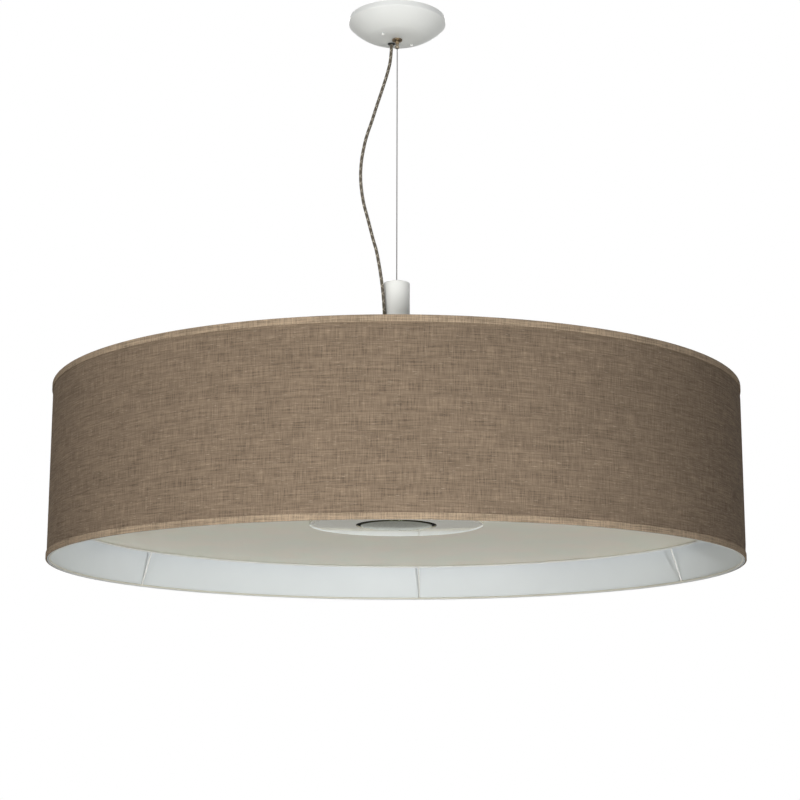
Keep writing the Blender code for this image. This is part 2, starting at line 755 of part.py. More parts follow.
def build_box(painted, zinc, plastic):
    inner = BOX_RADIUS - BOX_WALL
    outline = [
        (0, box_low),
        (BOX_RADIUS, box_low),
        (BOX_RADIUS, box_top),
        (inner, box_top),
        (inner, box_low + BOX_WALL),
        (0, box_low + BOX_WALL),
    ]
    box = keep("junction_box", turned(outline, CAN_STEPS), painted)
    lugs = []
    for angle in round_the_axis(BOX_SCREW_COUNT, BULB_TURN):
        low = polar(box_lug_circle, angle, box_top - BOX_LUG_HEIGHT)
        high = polar(box_lug_circle, angle, box_top - FIT)
        lugs.append(rod(low, high, BOX_LUG_RADIUS, ROD_STEPS))
    weld(box, gathered(lugs), "junction_box_lugs")

    hole = CONDUIT_RADIUS + FIT
    drills = [rod((0, 0, box_low - OVERRUN), (0, 0, box_low + BOX_WALL + OVERRUN), hole, SMALL_STEPS)]
    for angle in round_the_axis(BULB_COUNT, BULB_TURN):
        drill = rod((0, 0, -BOX_WALL - OVERRUN), (0, 0, OVERRUN), hole, SMALL_STEPS)
        drills.append(moved(drill, lamp_frame(angle)))
    drills += box_screw_drills(box_top - BOX_LUG_HEIGHT - OVERRUN, box_top + OVERRUN)
    cut(box, gathered(drills), "junction_box_holes")

    length, width = JOINT_BLOCK_LENGTH / 2, JOINT_BLOCK_WIDTH / 2
    top = lid_low - FIT
    block = bar((-length, -width, top - JOINT_BLOCK_HEIGHT), (length, width, top))
    keep("joint_block", softened(block), plastic)


def build_lampholders(holder_white, base_white, opal_bulb):
    entry = -BOX_WALL - CONDUIT_END
    holder = [
        (0, entry),
        (CONDUIT_RADIUS, entry),
        (CONDUIT_RADIUS, 0),
        (HOLDER_NECK_RADIUS, 0),
        (HOLDER_NECK_RADIUS, HOLDER_NECK),
        (HOLDER_RADIUS, HOLDER_FLOOR),
        (HOLDER_RADIUS, HOLDER_LENGTH),
        (HOLDER_BORE_RADIUS, HOLDER_LENGTH),
        (HOLDER_BORE_RADIUS, HOLDER_FLOOR),
        (0, HOLDER_FLOOR),
    ]
    neck_low = HOLDER_LENGTH + FIT
    neck_top = neck_low + BULB_NECK
    base = [
        (0, HOLDER_FLOOR + FIT),
        (CAP_TIP_RADIUS, HOLDER_FLOOR + FIT),
        (CAP_RADIUS, HOLDER_FLOOR + FIT + CAP_TAPER),
        (CAP_RADIUS, neck_low),
        (BULB_NECK_RADIUS, neck_low),
        (BULB_SHOULDER_RADIUS, neck_top),
        (0, neck_top),
    ]
    dome_low = neck_top + FIT
    dome = [(0, dome_low), (BULB_SHOULDER_RADIUS, dome_low)]
    swell = math.acos(BULB_SHOULDER_RADIUS / BULB_RADIUS)
    for i in range(1, BULB_RINGS + 1):
        angle = -swell + (swell + math.pi / 2) * i / BULB_RINGS
        rise = (math.sin(angle) + math.sin(swell)) / (1 + math.sin(swell))
        radius = BULB_RADIUS * math.cos(angle) if i < BULB_RINGS else 0
        dome.append((radius, dome_low + BULB_DOME * rise))

    for number, angle in enumerate(round_the_axis(BULB_COUNT, BULB_TURN), 1):
        seat = lamp_frame(angle)
        keep(f"lampholder_{number}", moved(turned(holder, BULB_STEPS), seat), holder_white)
        keep(f"bulb_base_{number}", moved(turned(base, BULB_STEPS), seat), base_white)
        keep(f"bulb_dome_{number}", moved(turned(dome, BULB_STEPS), seat), opal_bulb)


# Centre plate, lamp housing and spot lamp


def build_plate_and_housing(gloss_white, painted, zinc):
    plate_outline = [
        (PLATE_HOLE_RADIUS, plate_top),
        (PLATE_RADIUS - PLATE_ROUND, plate_top),
        (PLATE_RADIUS, plate_top - PLATE_ROUND),
        (PLATE_RADIUS, plate_low + PLATE_ROUND),
        (PLATE_RADIUS - PLATE_ROUND, plate_low),
        (PLATE_HOLE_RADIUS, plate_low),
    ]
    plate = keep("centre_plate", turned(plate_outline, PLATE_STEPS), gloss_white)

    shoulder = housing_low + HOUSING_SHOULDER
    inner = HOUSING_RADIUS - HOUSING_WALL
    hole = CONDUIT_RADIUS + FIT
    housing_outline = [
        (inner, housing_low),
        (housing_flange_radius, housing_low),
        (housing_flange_radius, housing_low + HOUSING_WALL),
        (HOUSING_RADIUS, housing_low + HOUSING_WALL),
        (HOUSING_RADIUS, shoulder),
        (HOUSING_TOP_RADIUS, housing_top),
        (hole, housing_top),
        (hole, housing_ceiling),
        (HOUSING_TOP_RADIUS - HOUSING_WALL / 2, housing_ceiling),
        (inner, shoulder - HOUSING_WALL / 2),
    ]
    housing = keep("lamp_housing", turned(housing_outline, CAN_STEPS), painted)

    stud_circle = HOUSING_RADIUS + HOUSING_FLANGE / 2
    holes, studs = [], []
    nut_top = housing_low + HOUSING_WALL + FIT + STUD_NUT
    for number, angle in enumerate(round_the_axis(STUD_COUNT, BULB_TURN), 1):
        low = polar(stud_circle, angle, plate_top)
        high = polar(stud_circle, angle, housing_low + OVERRUN)
        holes.append(rod(low, high, STUD_RADIUS + FIT, ROD_STEPS))
        root = polar(stud_circle, angle, plate_top - WELD)
        tip = polar(stud_circle, angle, nut_top + STUD_RADIUS)
        studs.append(rod(root, tip, STUD_RADIUS, ROD_STEPS))
        place = Matrix.Translation(polar(stud_circle, angle))
        nut = hex_nut(STUD_NUT_RADIUS, STUD_NUT, STUD_RADIUS + FIT, nut_top)
        keep(f"plate_nut_{number}", moved(nut, place), zinc)
    cut(housing, gathered(holes), "lamp_housing_holes")
    weld(plate, gathered(studs), "plate_studs")


def build_down_tube(zinc):
    tube_low = spot_strap_top - CONDUIT_END
    tube_high = box_low + BOX_WALL + CONDUIT_END
    down = [
        (CONDUIT_RADIUS, tube_high),
        (CONDUIT_RADIUS, tube_low),
        (CONDUIT_BORE_RADIUS, tube_low),
        (CONDUIT_BORE_RADIUS, tube_high),
    ]
    keep("down_tube", turned(down, SMALL_STEPS), zinc)
    bore = CONDUIT_RADIUS + FIT
    tops = (
        box_low + BOX_WALL + FIT + HEX_NUT,
        box_low - FIT,
        housing_top + FIT + HEX_NUT,
        spot_strap_top - SPOT_STRAP_THICKNESS - FIT,
    )
    for number, top in enumerate(tops, 1):
        keep(f"tube_nut_{number}", hex_nut(HEX_NUT_RADIUS, HEX_NUT, bore, top), zinc)


def build_spot_lampholder(zinc, plastic):
    half, width, thick = SPOT_STRAP_HALF, SPOT_STRAP_WIDTH / 2, SPOT_STRAP_THICKNESS
    strap = keep("spot_strap", bar((-half, -width, spot_strap_low), (half, width, spot_strap_top)), zinc)
    hollow = bar(
        (thick - half, -width - OVERRUN, spot_strap_low + thick),
        (half - thick, width + OVERRUN, spot_strap_top - thick),
    )
    middle = (spot_strap_low + spot_strap_top) / 2
    tube_hole = rod((0, 0, middle), (0, 0, spot_strap_top + OVERRUN), CONDUIT_RADIUS + FIT, SMALL_STEPS)
    rivet_hole = rod((0, 0, spot_strap_low - OVERRUN), (0, 0, middle), SOCKET_RIVET_RADIUS + FIT, ROD_STEPS)
    cut(strap, hollow, "spot_strap_hollow")
    cut(strap, tube_hole, "spot_strap_tube_hole")
    cut(strap, rivet_hole, "spot_strap_rivet_hole")

    rivet_top = spot_strap_low + thick + SOCKET_RIVET_TIP
    groove_top = socket_low + GROOVE_DEPTH
    block = [
        (0, rivet_top),
        (SOCKET_RIVET_RADIUS, rivet_top),
        (SOCKET_RIVET_RADIUS, socket_top),
        (SOCKET_BLOCK_RADIUS, socket_top),
        (SOCKET_BLOCK_RADIUS, socket_low),
        (GROOVE_OUTER_RADIUS, socket_low),
        (GROOVE_OUTER_RADIUS, groove_top),
        (GROOVE_INNER_RADIUS, groove_top),
        (GROOVE_INNER_RADIUS, socket_low),
        (0, socket_low),
    ]
    keep("spot_lampholder", turned(block, BULB_STEPS), plastic)


def build_spot_lamp(silver, glass):
    rim_top = lamp_low + LAMP_RIM
    neck_low = lamp_top - LAMP_BASE
    bowl = []
    for i in range(LAMP_RINGS + 1):
        angle = math.pi / 2 * i / LAMP_RINGS
        radius = LAMP_BASE_RADIUS + (LAMP_RADIUS - LAMP_BASE_RADIUS) * math.cos(angle)
        bowl.append((radius, rim_top + (neck_low - rim_top) * math.sin(angle)))
    body = [(0, lamp_low), (LAMP_RADIUS, lamp_low)] + bowl + [(LAMP_BASE_RADIUS, lamp_top), (0, lamp_top)]
    lamp = keep("spot_lamp_body", turned(body, CAN_STEPS), silver)

    swell = (LENS_RADIUS**2 + LENS_SAG**2) / (2 * LENS_SAG)
    face = []
    for i in range(LENS_RINGS + 1):
        radius = LENS_RADIUS * i / LENS_RINGS
        face.append((radius, lens_low + swell - math.sqrt(swell**2 - radius**2)))
    lens = face + [(LENS_RADIUS, lens_edge_z + LENS_THICKNESS), (0, lens_edge_z + LENS_THICKNESS)]
    keep("spot_lamp_lens", turned(lens, CAN_STEPS), glass)

    pins = []
    for side in (-1, 1):
        foot = Vector((side * PIN_SPREAD, 0, lamp_top - WELD))
        tip = Vector((side * PIN_SPREAD, 0, lamp_top + PIN_LENGTH))
        pins.append(rod(foot, tip, PIN_RADIUS, ROD_STEPS))
    weld(lamp, gathered(pins), "lamp_pins")


# Ceiling canopy, bracket and terminal block


def canopy_outline():
    """Outer side from the ceiling down, then the inner side back up."""
    def side(wall):
        widest = CANOPY_RADIUS - wall
        low = canopy_low + wall
        edge = (widest - CANOPY_EDGE, -CANOPY_SIDE - CANOPY_EDGE)
        crown = arc(edge, (CANOPY_FLAT_RADIUS, low), CANOPY_BULGE, CANOPY_RINGS)
        wall_line = [
            (widest - CANOPY_MOUTH, 0),
            (widest, -CANOPY_SIDE),
            (widest - CANOPY_EDGE * CORNER_SHARE, -CANOPY_SIDE - CANOPY_EDGE * (1 - CORNER_SHARE)),
        ]
        return wall_line + crown + [(0, low)]

    outer = side(0)
    inner = side(CANOPY_WALL)
    return outer, inner


def build_canopy(canopy_white, zinc, rubber, white_head):
    outer, inner = canopy_outline()
    outline = list(reversed(outer)) + inner
    shell = keep("canopy_shell", turned(outline, PLATE_STEPS), canopy_white)
    low, high = Vector((0, 0, canopy_low - OVERRUN)), Vector((0, 0, canopy_floor + OVERRUN))
    grommet = Vector((*GROMMET_PLACE, 0))
    drills = [rod(low, high, SHANK_RADIUS + FIT, BULB_STEPS)]
    drills.append(rod(grommet + low, grommet + high, GROMMET_NECK_RADIUS + FIT, SMALL_STEPS))
    screw_places = [polar(SCREW_CIRCLE, angle) for angle in round_the_axis(2, SCREW_TURN)]
    for place in screw_places:
        drills.append(rod(place + low, place + high, SCREW_RADIUS + FIT, ROD_STEPS))
    cut(shell, gathered(drills), "canopy_holes")

    head_top = canopy_low - FIT
    screw_top = -strap_depth + STRAP_THICKNESS + SCREW_TIP
    screw = rounded_head(SCREW_HEAD_RADIUS, head_top, -SCREW_HEAD) + [
        (SCREW_RADIUS, head_top),
        (SCREW_RADIUS, screw_top),
        (0, screw_top),
    ]
    for number, place in enumerate(screw_places, 1):
        placed = moved(turned(screw, ROD_STEPS), Matrix.Translation(place))
        keep(f"canopy_screw_{number}", placed, white_head)

    lip_low = canopy_floor + FIT
    grommet_outline = rounded_head(GROMMET_RADIUS, head_top, -GROMMET_FLANGE) + [
        (GROMMET_NECK_RADIUS, head_top),
        (GROMMET_NECK_RADIUS, lip_low),
        (GROMMET_LIP_RADIUS, lip_low),
        (GROMMET_TIP_RADIUS, lip_low + GROMMET_HEAD),
        (0, lip_low + GROMMET_HEAD),
    ]
    keep("cord_grommet", moved(turned(grommet_outline, SMALL_STEPS), Matrix.Translation(grommet)), rubber)


def build_bracket(zinc, plastic):
    half, foot, thick = STRAP_HALF, STRAP_FOOT, STRAP_THICKNESS
    outline = [
        (-half, 0),
        (half, 0),
        (half, -strap_depth),
        (half - foot, -strap_depth),
        (half - foot, thick - strap_depth),
        (half - thick, thick - strap_depth),
        (half - thick, -thick),
        (thick - half, -thick),
        (thick - half, thick - strap_depth),
        (foot - half, thick - strap_depth),
        (foot - half, -strap_depth),
        (-half, -strap_depth),
    ]
    bm = bmesh.new()
    face = bm.faces.new([bm.verts.new((u, -STRAP_WIDTH / 2, z)) for u, z in outline])
    made = bmesh.ops.extrude_face_region(bm, geom=[face])
    far = [item for item in made["geom"] if isinstance(item, bmesh.types.BMVert)]
    bmesh.ops.translate(bm, verts=far, vec=(0, STRAP_WIDTH, 0))
    strap = keep("ceiling_bracket", moved(bm, about_z(SCREW_TURN)), zinc)
    bend = strap.modifiers.new("bends", "BEVEL")
    bend.width = STRAP_BEND
    bend.segments = 1
    bend.limit_method = "ANGLE"

    holes = []
    for side in (-1, 1):
        start, end = side * SLOT_PLACE - SLOT_LENGTH / 2, side * SLOT_PLACE + SLOT_LENGTH / 2
        holes.append(bar((start, -SLOT_WIDTH / 2, -thick - OVERRUN), (end, SLOT_WIDTH / 2, OVERRUN)))
        foot_low = Vector((side * SCREW_CIRCLE, 0, -strap_depth - OVERRUN))
        foot_high = Vector((side * SCREW_CIRCLE, 0, thick - strap_depth + OVERRUN))
        holes.append(rod(foot_low, foot_high, SCREW_RADIUS + FIT, ROD_STEPS))
    cut(strap, moved(gathered(holes), about_z(SCREW_TURN)), "ceiling_bracket_holes")

    top = -thick - FIT
    length, width = BLOCK_LENGTH / 2, BLOCK_WIDTH / 2
    block = bar((BLOCK_PLACE - length, -width, top - BLOCK_HEIGHT), (BLOCK_PLACE + length, width, top))
    terminal = keep("terminal_block", moved(softened(block), about_z(SCREW_TURN)), plastic)
    channels = []
    for way in range(BLOCK_WAYS):
        centre = BLOCK_PLACE - length + BLOCK_LENGTH * (way + 1 / 2) / BLOCK_WAYS
        start = (centre, -BLOCK_WIDTH, top - BLOCK_HEIGHT / 2)
        end = (centre, BLOCK_WIDTH, top - BLOCK_HEIGHT / 2)
        channels.append(rod(start, end, BLOCK_CHANNEL / 2, ROD_STEPS))
    cut(terminal, moved(gathered(channels), about_z(SCREW_TURN)), "terminal_block_ways")


# Wire gripper in the canopy, with a ball that lets it swing


def build_gripper(brass, nickel, steel):
    collar = [
        (MOUTH_RADIUS, flange_low),
        (FLANGE_RADIUS, flange_low),
        (FLANGE_RADIUS, flange_top),
        (SHANK_RADIUS, flange_top),
        (SHANK_RADIUS, shank_top),
        (SHANK_BORE_RADIUS, shank_top),
        (SHANK_BORE_RADIUS, throat_z),
        (THROAT_RADIUS, throat_z),
    ]
    keep("gripper_collar", turned(collar, BULB_STEPS), brass)
    nut_top = canopy_floor + FIT + COLLAR_NUT
    keep("collar_nut", hex_nut(COLLAR_NUT_RADIUS, COLLAR_NUT, SHANK_RADIUS + FIT, nut_top), brass)

    ball = []
    first = math.asin(GUIDE_RADIUS / BALL_RADIUS)
    last = math.pi - math.asin(BARREL_RADIUS / BALL_RADIUS)
    for i in range(BALL_RINGS + 1):
        angle = first + (last - first) * i / BALL_RINGS
        ball.append((BALL_RADIUS * math.sin(angle), ball_z - BALL_RADIUS * math.cos(angle)))
    lower_bore = NOZZLE_SHANK_RADIUS + FIT
    upper_bore = NOZZLE_BORE_RADIUS
    body = [
        (lower_bore, guide_low),
        (GUIDE_RADIUS, guide_low),
        *ball,
        (BARREL_RADIUS, cap_low),
        (GRIPPER_CAP_RADIUS, cap_low),
        (GRIPPER_CAP_RADIUS, cap_top),
        (upper_bore, cap_top),
        (upper_bore, chamber_top),
        (CHAMBER_RADIUS, chamber_top),
        (CHAMBER_RADIUS, chamber_low),
        (lower_bore, chamber_low),
    ]
    keep("gripper_body", turned(body, BULB_STEPS), brass)

    nozzle = [
        (NOZZLE_BORE_RADIUS, nozzle_low),
        (NOZZLE_TIP_RADIUS, nozzle_low),
        (NOZZLE_RADIUS, nozzle_low + NOZZLE_TAPER),
        (NOZZLE_RADIUS, nozzle_top),
        (NOZZLE_SHANK_RADIUS, nozzle_top),
        (NOZZLE_SHANK_RADIUS, chamber_low),
        (NOZZLE_BORE_RADIUS, chamber_low),
    ]
    keep("release_nozzle", turned(nozzle, SMALL_STEPS), nickel)

    collet_low = chamber_low + FIT
    collet_top = collet_low + COLLET_HEIGHT
    collet = [
        (NOZZLE_BORE_RADIUS, collet_low),
        (COLLET_TIP_RADIUS, collet_low),
        (COLLET_RADIUS, collet_low + COLLET_TAPER),
        (COLLET_RADIUS, collet_top),
        (NOZZLE_BORE_RADIUS, collet_top),
    ]
    keep("wire_collet", turned(collet, SMALL_STEPS), steel)

    low = collet_top + FIT + SPRING_WIRE_RADIUS
    high = chamber_top - FIT - SPRING_WIRE_RADIUS
    coil = []
    count = SPRING_CURLS * SPRING_POINTS
    for i in range(count + 1):
        coil.append(polar(SPRING_RADIUS, math.tau * i / SPRING_POINTS, low + (high - low) * i / count))
    tube_along("gripper_spring", coil, SPRING_WIRE_RADIUS, 0, steel)


def build_wires(steel, textile):
    keep("suspension_wire", rod((0, 0, wire_low), (0, 0, wire_top), WIRE_RADIUS, ROD_STEPS), steel)
    tube_along("power_cord", smooth_line(CORD_ROUTE, CORD_STEP), CORD_RADIUS, 2, textile)


def build():
    clear_scene()
    linen = finish("linen_fabric", (0.27, 0.205, 0.145), 0.92)
    trim = finish("linen_trim", (0.42, 0.33, 0.235), 0.9)
    liner = finish("white_liner", (0.78, 0.79, 0.78), 0.55)
    opal = finish("opal_diffuser", (0.62, 0.60, 0.54), 0.5)
    gloss_white = finish("gloss_white", (0.70, 0.69, 0.63), 0.08)
    painted = finish("white_paint", (0.76, 0.76, 0.73), 0.38)
    canopy_white = finish("canopy_white", (0.78, 0.79, 0.77), 0.35)
    white_head = finish("screw_white", (0.85, 0.85, 0.83), 0.3)
    zinc = finish("zinc_steel", (0.62, 0.62, 0.6), 0.35, 1.0)
    steel = finish("steel_wire", (0.45, 0.45, 0.44), 0.35, 1.0)
    brass = finish("aged_brass", (0.36, 0.27, 0.16), 0.32, 1.0)
    nickel = finish("nickel", (0.42, 0.36, 0.28), 0.3, 1.0)
    rubber = finish("black_rubber", (0.02, 0.02, 0.02), 0.6)
    plastic = finish("white_plastic", (0.8, 0.8, 0.78), 0.45)
    bulb = finish("opal_bulb", (0.9, 0.9, 0.88), 0.35)
    silver = finish("lamp_silver", (0.55, 0.55, 0.53), 0.4, 1.0)
    lens = finish("satin_lens", (0.33, 0.34, 0.31), 0.3, 0.7)
    textile = finish("textile_cord", (0.15, 0.135, 0.1), 0.9)

    build_bracket(zinc, plastic)
    build_canopy(canopy_white, zinc, rubber, white_head)
    build_gripper(brass, nickel, steel)
    build_wires(steel, textile)
    build_stem(painted, zinc, brass)
    build_top_ring_and_spider(painted, zinc, rubber)
    build_shade(linen, liner, trim)
    build_diffuser(opal, painted)
    build_box(painted, zinc, plastic)
    build_lampholders(plastic, painted, bulb)
    build_plate_and_housing(gloss_white, painted, zinc)
    build_down_tube(zinc)
    build_spot_lampholder(zinc, plastic)
    build_spot_lamp(silver, lens)


build()
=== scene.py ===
import json
import math

import bmesh
import bpy
from mathutils import Matrix, Vector, noise


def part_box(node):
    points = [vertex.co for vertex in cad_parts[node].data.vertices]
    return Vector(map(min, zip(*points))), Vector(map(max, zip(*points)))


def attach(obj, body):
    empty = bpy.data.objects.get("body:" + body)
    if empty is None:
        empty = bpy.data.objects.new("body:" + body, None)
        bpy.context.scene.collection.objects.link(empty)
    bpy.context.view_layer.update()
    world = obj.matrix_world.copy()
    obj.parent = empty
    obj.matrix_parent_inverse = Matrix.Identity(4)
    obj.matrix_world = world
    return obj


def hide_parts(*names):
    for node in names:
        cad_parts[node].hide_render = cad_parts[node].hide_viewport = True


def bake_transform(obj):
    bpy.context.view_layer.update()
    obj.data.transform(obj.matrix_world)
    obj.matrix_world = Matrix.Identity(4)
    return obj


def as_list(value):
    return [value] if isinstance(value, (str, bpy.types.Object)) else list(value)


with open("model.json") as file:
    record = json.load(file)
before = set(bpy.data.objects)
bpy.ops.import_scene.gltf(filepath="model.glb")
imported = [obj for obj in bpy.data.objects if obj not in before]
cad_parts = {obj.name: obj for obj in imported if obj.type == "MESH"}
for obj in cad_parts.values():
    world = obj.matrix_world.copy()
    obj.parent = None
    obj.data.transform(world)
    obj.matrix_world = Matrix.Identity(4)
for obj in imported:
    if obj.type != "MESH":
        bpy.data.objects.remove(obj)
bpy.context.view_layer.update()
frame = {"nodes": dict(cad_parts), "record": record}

mergeGap = 0.000001  # points closer than this are one point
sharpAngle = math.radians(32)  # edges sharper than this are drawn crisp


# Camera at the photograph's angle, fitted to the drum's four edge circles

cameraSizes = {
    "place": (0.00516, -2.6382, -1.1455),
    "pitch": 0.20402,  # looking up, radians
    "roll": 0.00156,
    "lens": 82.044,
    "sensor": 36.0,
    "far": 60.0,
}


def makeCamera():
    pitch, roll = cameraSizes["pitch"], cameraSizes["roll"]
    camera = bpy.data.cameras.new("photo_camera")
    camera.lens = cameraSizes["lens"]
    camera.sensor_width = cameraSizes["sensor"]
    camera.clip_end = cameraSizes["far"]
    held = bpy.data.objects.new("photo_camera", camera)
    bpy.context.scene.collection.objects.link(held)
    tilt = Matrix.Rotation(math.pi / 2 + pitch, 4, "X")
    held.matrix_world = Matrix.Translation(cameraSizes["place"]) @ tilt @ Matrix.Rotation(roll, 4, "Z")
    bpy.context.scene.camera = held
    bpy.context.scene.view_settings.view_transform = "Standard"
    print("camera set")


# Mesh helpers


def polar(radius, angle, height=0.0):
    return Vector((radius * math.cos(angle), radius * math.sin(angle), height))


def around(count, first=0.0):
    return [first + math.tau * i / count for i in range(count)]


def softened(bm, offset, segments=2, least=30):
    # Round every edge sharper than the least angle.
    edges = [e for e in bm.edges if len(e.link_faces) == 2 and e.calc_face_angle() > math.radians(least)]
    bmesh.ops.bevel(
        bm,
        geom=edges,
        offset=offset,
        segments=segments,
        affect="EDGES",
        profile=0.5,
        material=-1,
        clamp_overlap=True,
    )
    return bm


def turned(outline, steps=96, soft=0.0, segments=2):
    # Spin an outline of (radius, height) points round Z; one that starts on the axis is left open.
    bm = bmesh.new()
    points = [bm.verts.new((radius, 0, height)) for radius, height in outline]
    edges = [bm.edges.new(pair) for pair in zip(points, points[1:])]
    if outline[0][0] > 0:
        edges.append(bm.edges.new((points[-1], points[0])))
    bmesh.ops.spin(
        bm,
        geom=points + edges,
        axis=(0, 0, 1),
        cent=(0, 0, 0),
        angle=math.tau,
        steps=steps,
        use_merge=True,
    )
    bmesh.ops.remove_doubles(bm, verts=bm.verts, dist=mergeGap)
    bmesh.ops.recalc_face_normals(bm, faces=bm.faces)
    return softened(bm, soft, segments) if soft else bm


def eased(outline, segments=4):
    # Rounds each corner that carries a third number, its radius.
    done = []
    for i, spot in enumerate(outline):
        point = Vector(spot[:2])
        if len(spot) < 3 or not spot[2]:
            done.append(tuple(point))
            continue
        before = Vector(outline[i - 1][:2]) - point
        after = Vector(outline[(i + 1) % len(outline)][:2]) - point
        half = before.angle(after) / 2
        back = min(spot[2] / math.tan(half), 0.49 * before.length, 0.49 * after.length)
        inward = (before.normalized() + after.normalized()).normalized()
        centre = point + inward * (back / math.cos(half))
        start = point + before.normalized() * back - centre
        end = point + after.normalized() * back - centre
        for k in range(segments + 1):
            done.append(tuple(centre + start.slerp(end, k / segments) * start.length))
    return done


def rod(start, end, radius, sides=20, soft=0.0):
    start, end = Vector(start), Vector(end)
    along = end - start
    bm = bmesh.new()
    bmesh.ops.create_cone(
        bm,
        cap_ends=True,
        segments=sides,
        radius1=radius,
        radius2=radius,
        depth=along.length,
        matrix=Matrix.Translation((start + end) / 2) @ along.to_track_quat("Z", "Y").to_matrix().to_4x4(),
    )
    return softened(bm, soft) if soft else bm


def bead(place, sizes, turn=Matrix()):
    # A small blob of weld metal.
    bm = bmesh.new()
    matrix = Matrix.Translation(place) @ turn @ Matrix.Diagonal((*sizes, 1))
    bmesh.ops.create_icosphere(bm, subdivisions=3, radius=1, matrix=matrix)
    return bm


def placed(bm, matrix):
    bmesh.ops.transform(bm, matrix=matrix, verts=bm.verts)
    return bm


def gathered(parts):
    whole = bmesh.new()
    for part in parts:
        spare = bpy.data.meshes.new("spare")
        part.to_mesh(spare)
        part.free()
        whole.from_mesh(spare)
        bpy.data.meshes.remove(spare)
    return whole


def kept(name, bm, material):
    mesh = bpy.data.meshes.new(name)
    bm.to_mesh(mesh)
    bm.free()
    mesh.shade_smooth()
    mesh.set_sharp_from_angle(angle=sharpAngle)
    mesh.materials.append(material)
    made = bpy.data.objects.new(name, mesh)
    bpy.context.scene.collection.objects.link(made)
    return made


def piece(name, bm, material, body, *nodes, slot=None):
    # Keep a finished mesh as a piece that rides on a body and stands for CAD nodes.
    made = kept(name, bm, material)
    slot or material.name
    if body:
        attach(made, body)
    if nodes:
        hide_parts(*nodes)
    return made


def lathed(name, outline, steps, material, body, node):
    # A turned piece from its outline, whose corners may carry a radius.
    return piece(name, turned(eased(outline), steps), material, body, node)


def reach(node):
    # Outer radius of a turned node on the lamp's axis, its lowest and its highest point.
    low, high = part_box(node)
    return high.x, low.z, high.z


def reachBeside(node):
    # The same for a turned node beside the axis, and the place of its own axis.
    low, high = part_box(node)
    return (high.x - low.x) / 2, low.z, high.z, Vector(((low.x + high.x) / 2, (low.y + high.y) / 2, 0))


# Shader helpers


def times(tree, a, b):
    return calc(tree, "MULTIPLY", a, b)


def plus(tree, a, b):
    return calc(tree, "ADD", a, b)


def minus(tree, a, b):
    return calc(tree, "SUBTRACT", a, b)


def put(tree, value, socket):
    if isinstance(value, bpy.types.NodeSocket):
        tree.links.new(value, socket)
    else:
        socket.default_value = value


def node(tree, kind, sockets=None, **settings):
    made = tree.nodes.new("ShaderNode" + kind)
    for key, value in settings.items():
        setattr(made, key, value)
    for key, value in (sockets or {}).items():
        put(tree, value, made.inputs[key])
    return made


def calc(tree, operation, a, b=0.0, c=0.0):
    made = node(tree, "Math", operation=operation)
    for socket, value in zip(made.inputs, (a, b, c)):
        put(tree, value, socket)
    return made.outputs[0]


def patches(tree, vector, stretch, detail=2.0, shift=0.0, roughness=0.5):
    # Noise with its own number of patches to the metre along each axis.
    mapped = node(tree, "Mapping", {"Vector": vector, "Scale": stretch, "Location": (shift, shift, shift)})
    made = node(tree, "TexNoise", {"Vector": mapped.outputs[0], "Scale": 1.0, "Detail": detail})
    made.inputs["Roughness"].default_value = roughness
    return made.outputs["Fac"]


def between(tree, value, low, high, toLow=0.0, toHigh=1.0):
    made = node(tree, "MapRange", {"Value": value, "From Min": low, "From Max": high})
    made.inputs["To Min"].default_value = toLow
    made.inputs["To Max"].default_value = toHigh
    return made.outputs["Result"]


def blended(tree, factor, a, b, blend="MIX"):
    made = node(tree, "Mix", data_type="RGBA", blend_type=blend)
    put(tree, factor, made.inputs["Factor"])
    put(tree, a, made.inputs["A"])
    put(tree, b, made.inputs["B"])
    return made.outputs["Result"]


def scaledColour(tree, colour, factor):
    # A colour times a number that changes over the surface.
    grey = node(tree, "CombineXYZ", {"X": factor, "Y": factor, "Z": factor}).outputs[0]
    return blended(tree, 1.0, colour, grey, "MULTIPLY")


def effect(name, inputs, outputs):
    # A shader node group with named inputs and outputs: its tree, its input node and its output node.
    tree = bpy.data.node_groups.new(name, "ShaderNodeTree")
    kinds = {"vector": "NodeSocketVector", "colour": "NodeSocketColor", "value": "NodeSocketFloat"}
    for label, kind in inputs:
        tree.interface.new_socket(name=label, in_out="INPUT", socket_type=kinds[kind])
    for label, kind in outputs:
        tree.interface.new_socket(name=label, in_out="OUTPUT", socket_type=kinds[kind])
    return tree, tree.nodes.new("NodeGroupInput"), tree.nodes.new("NodeGroupOutput")


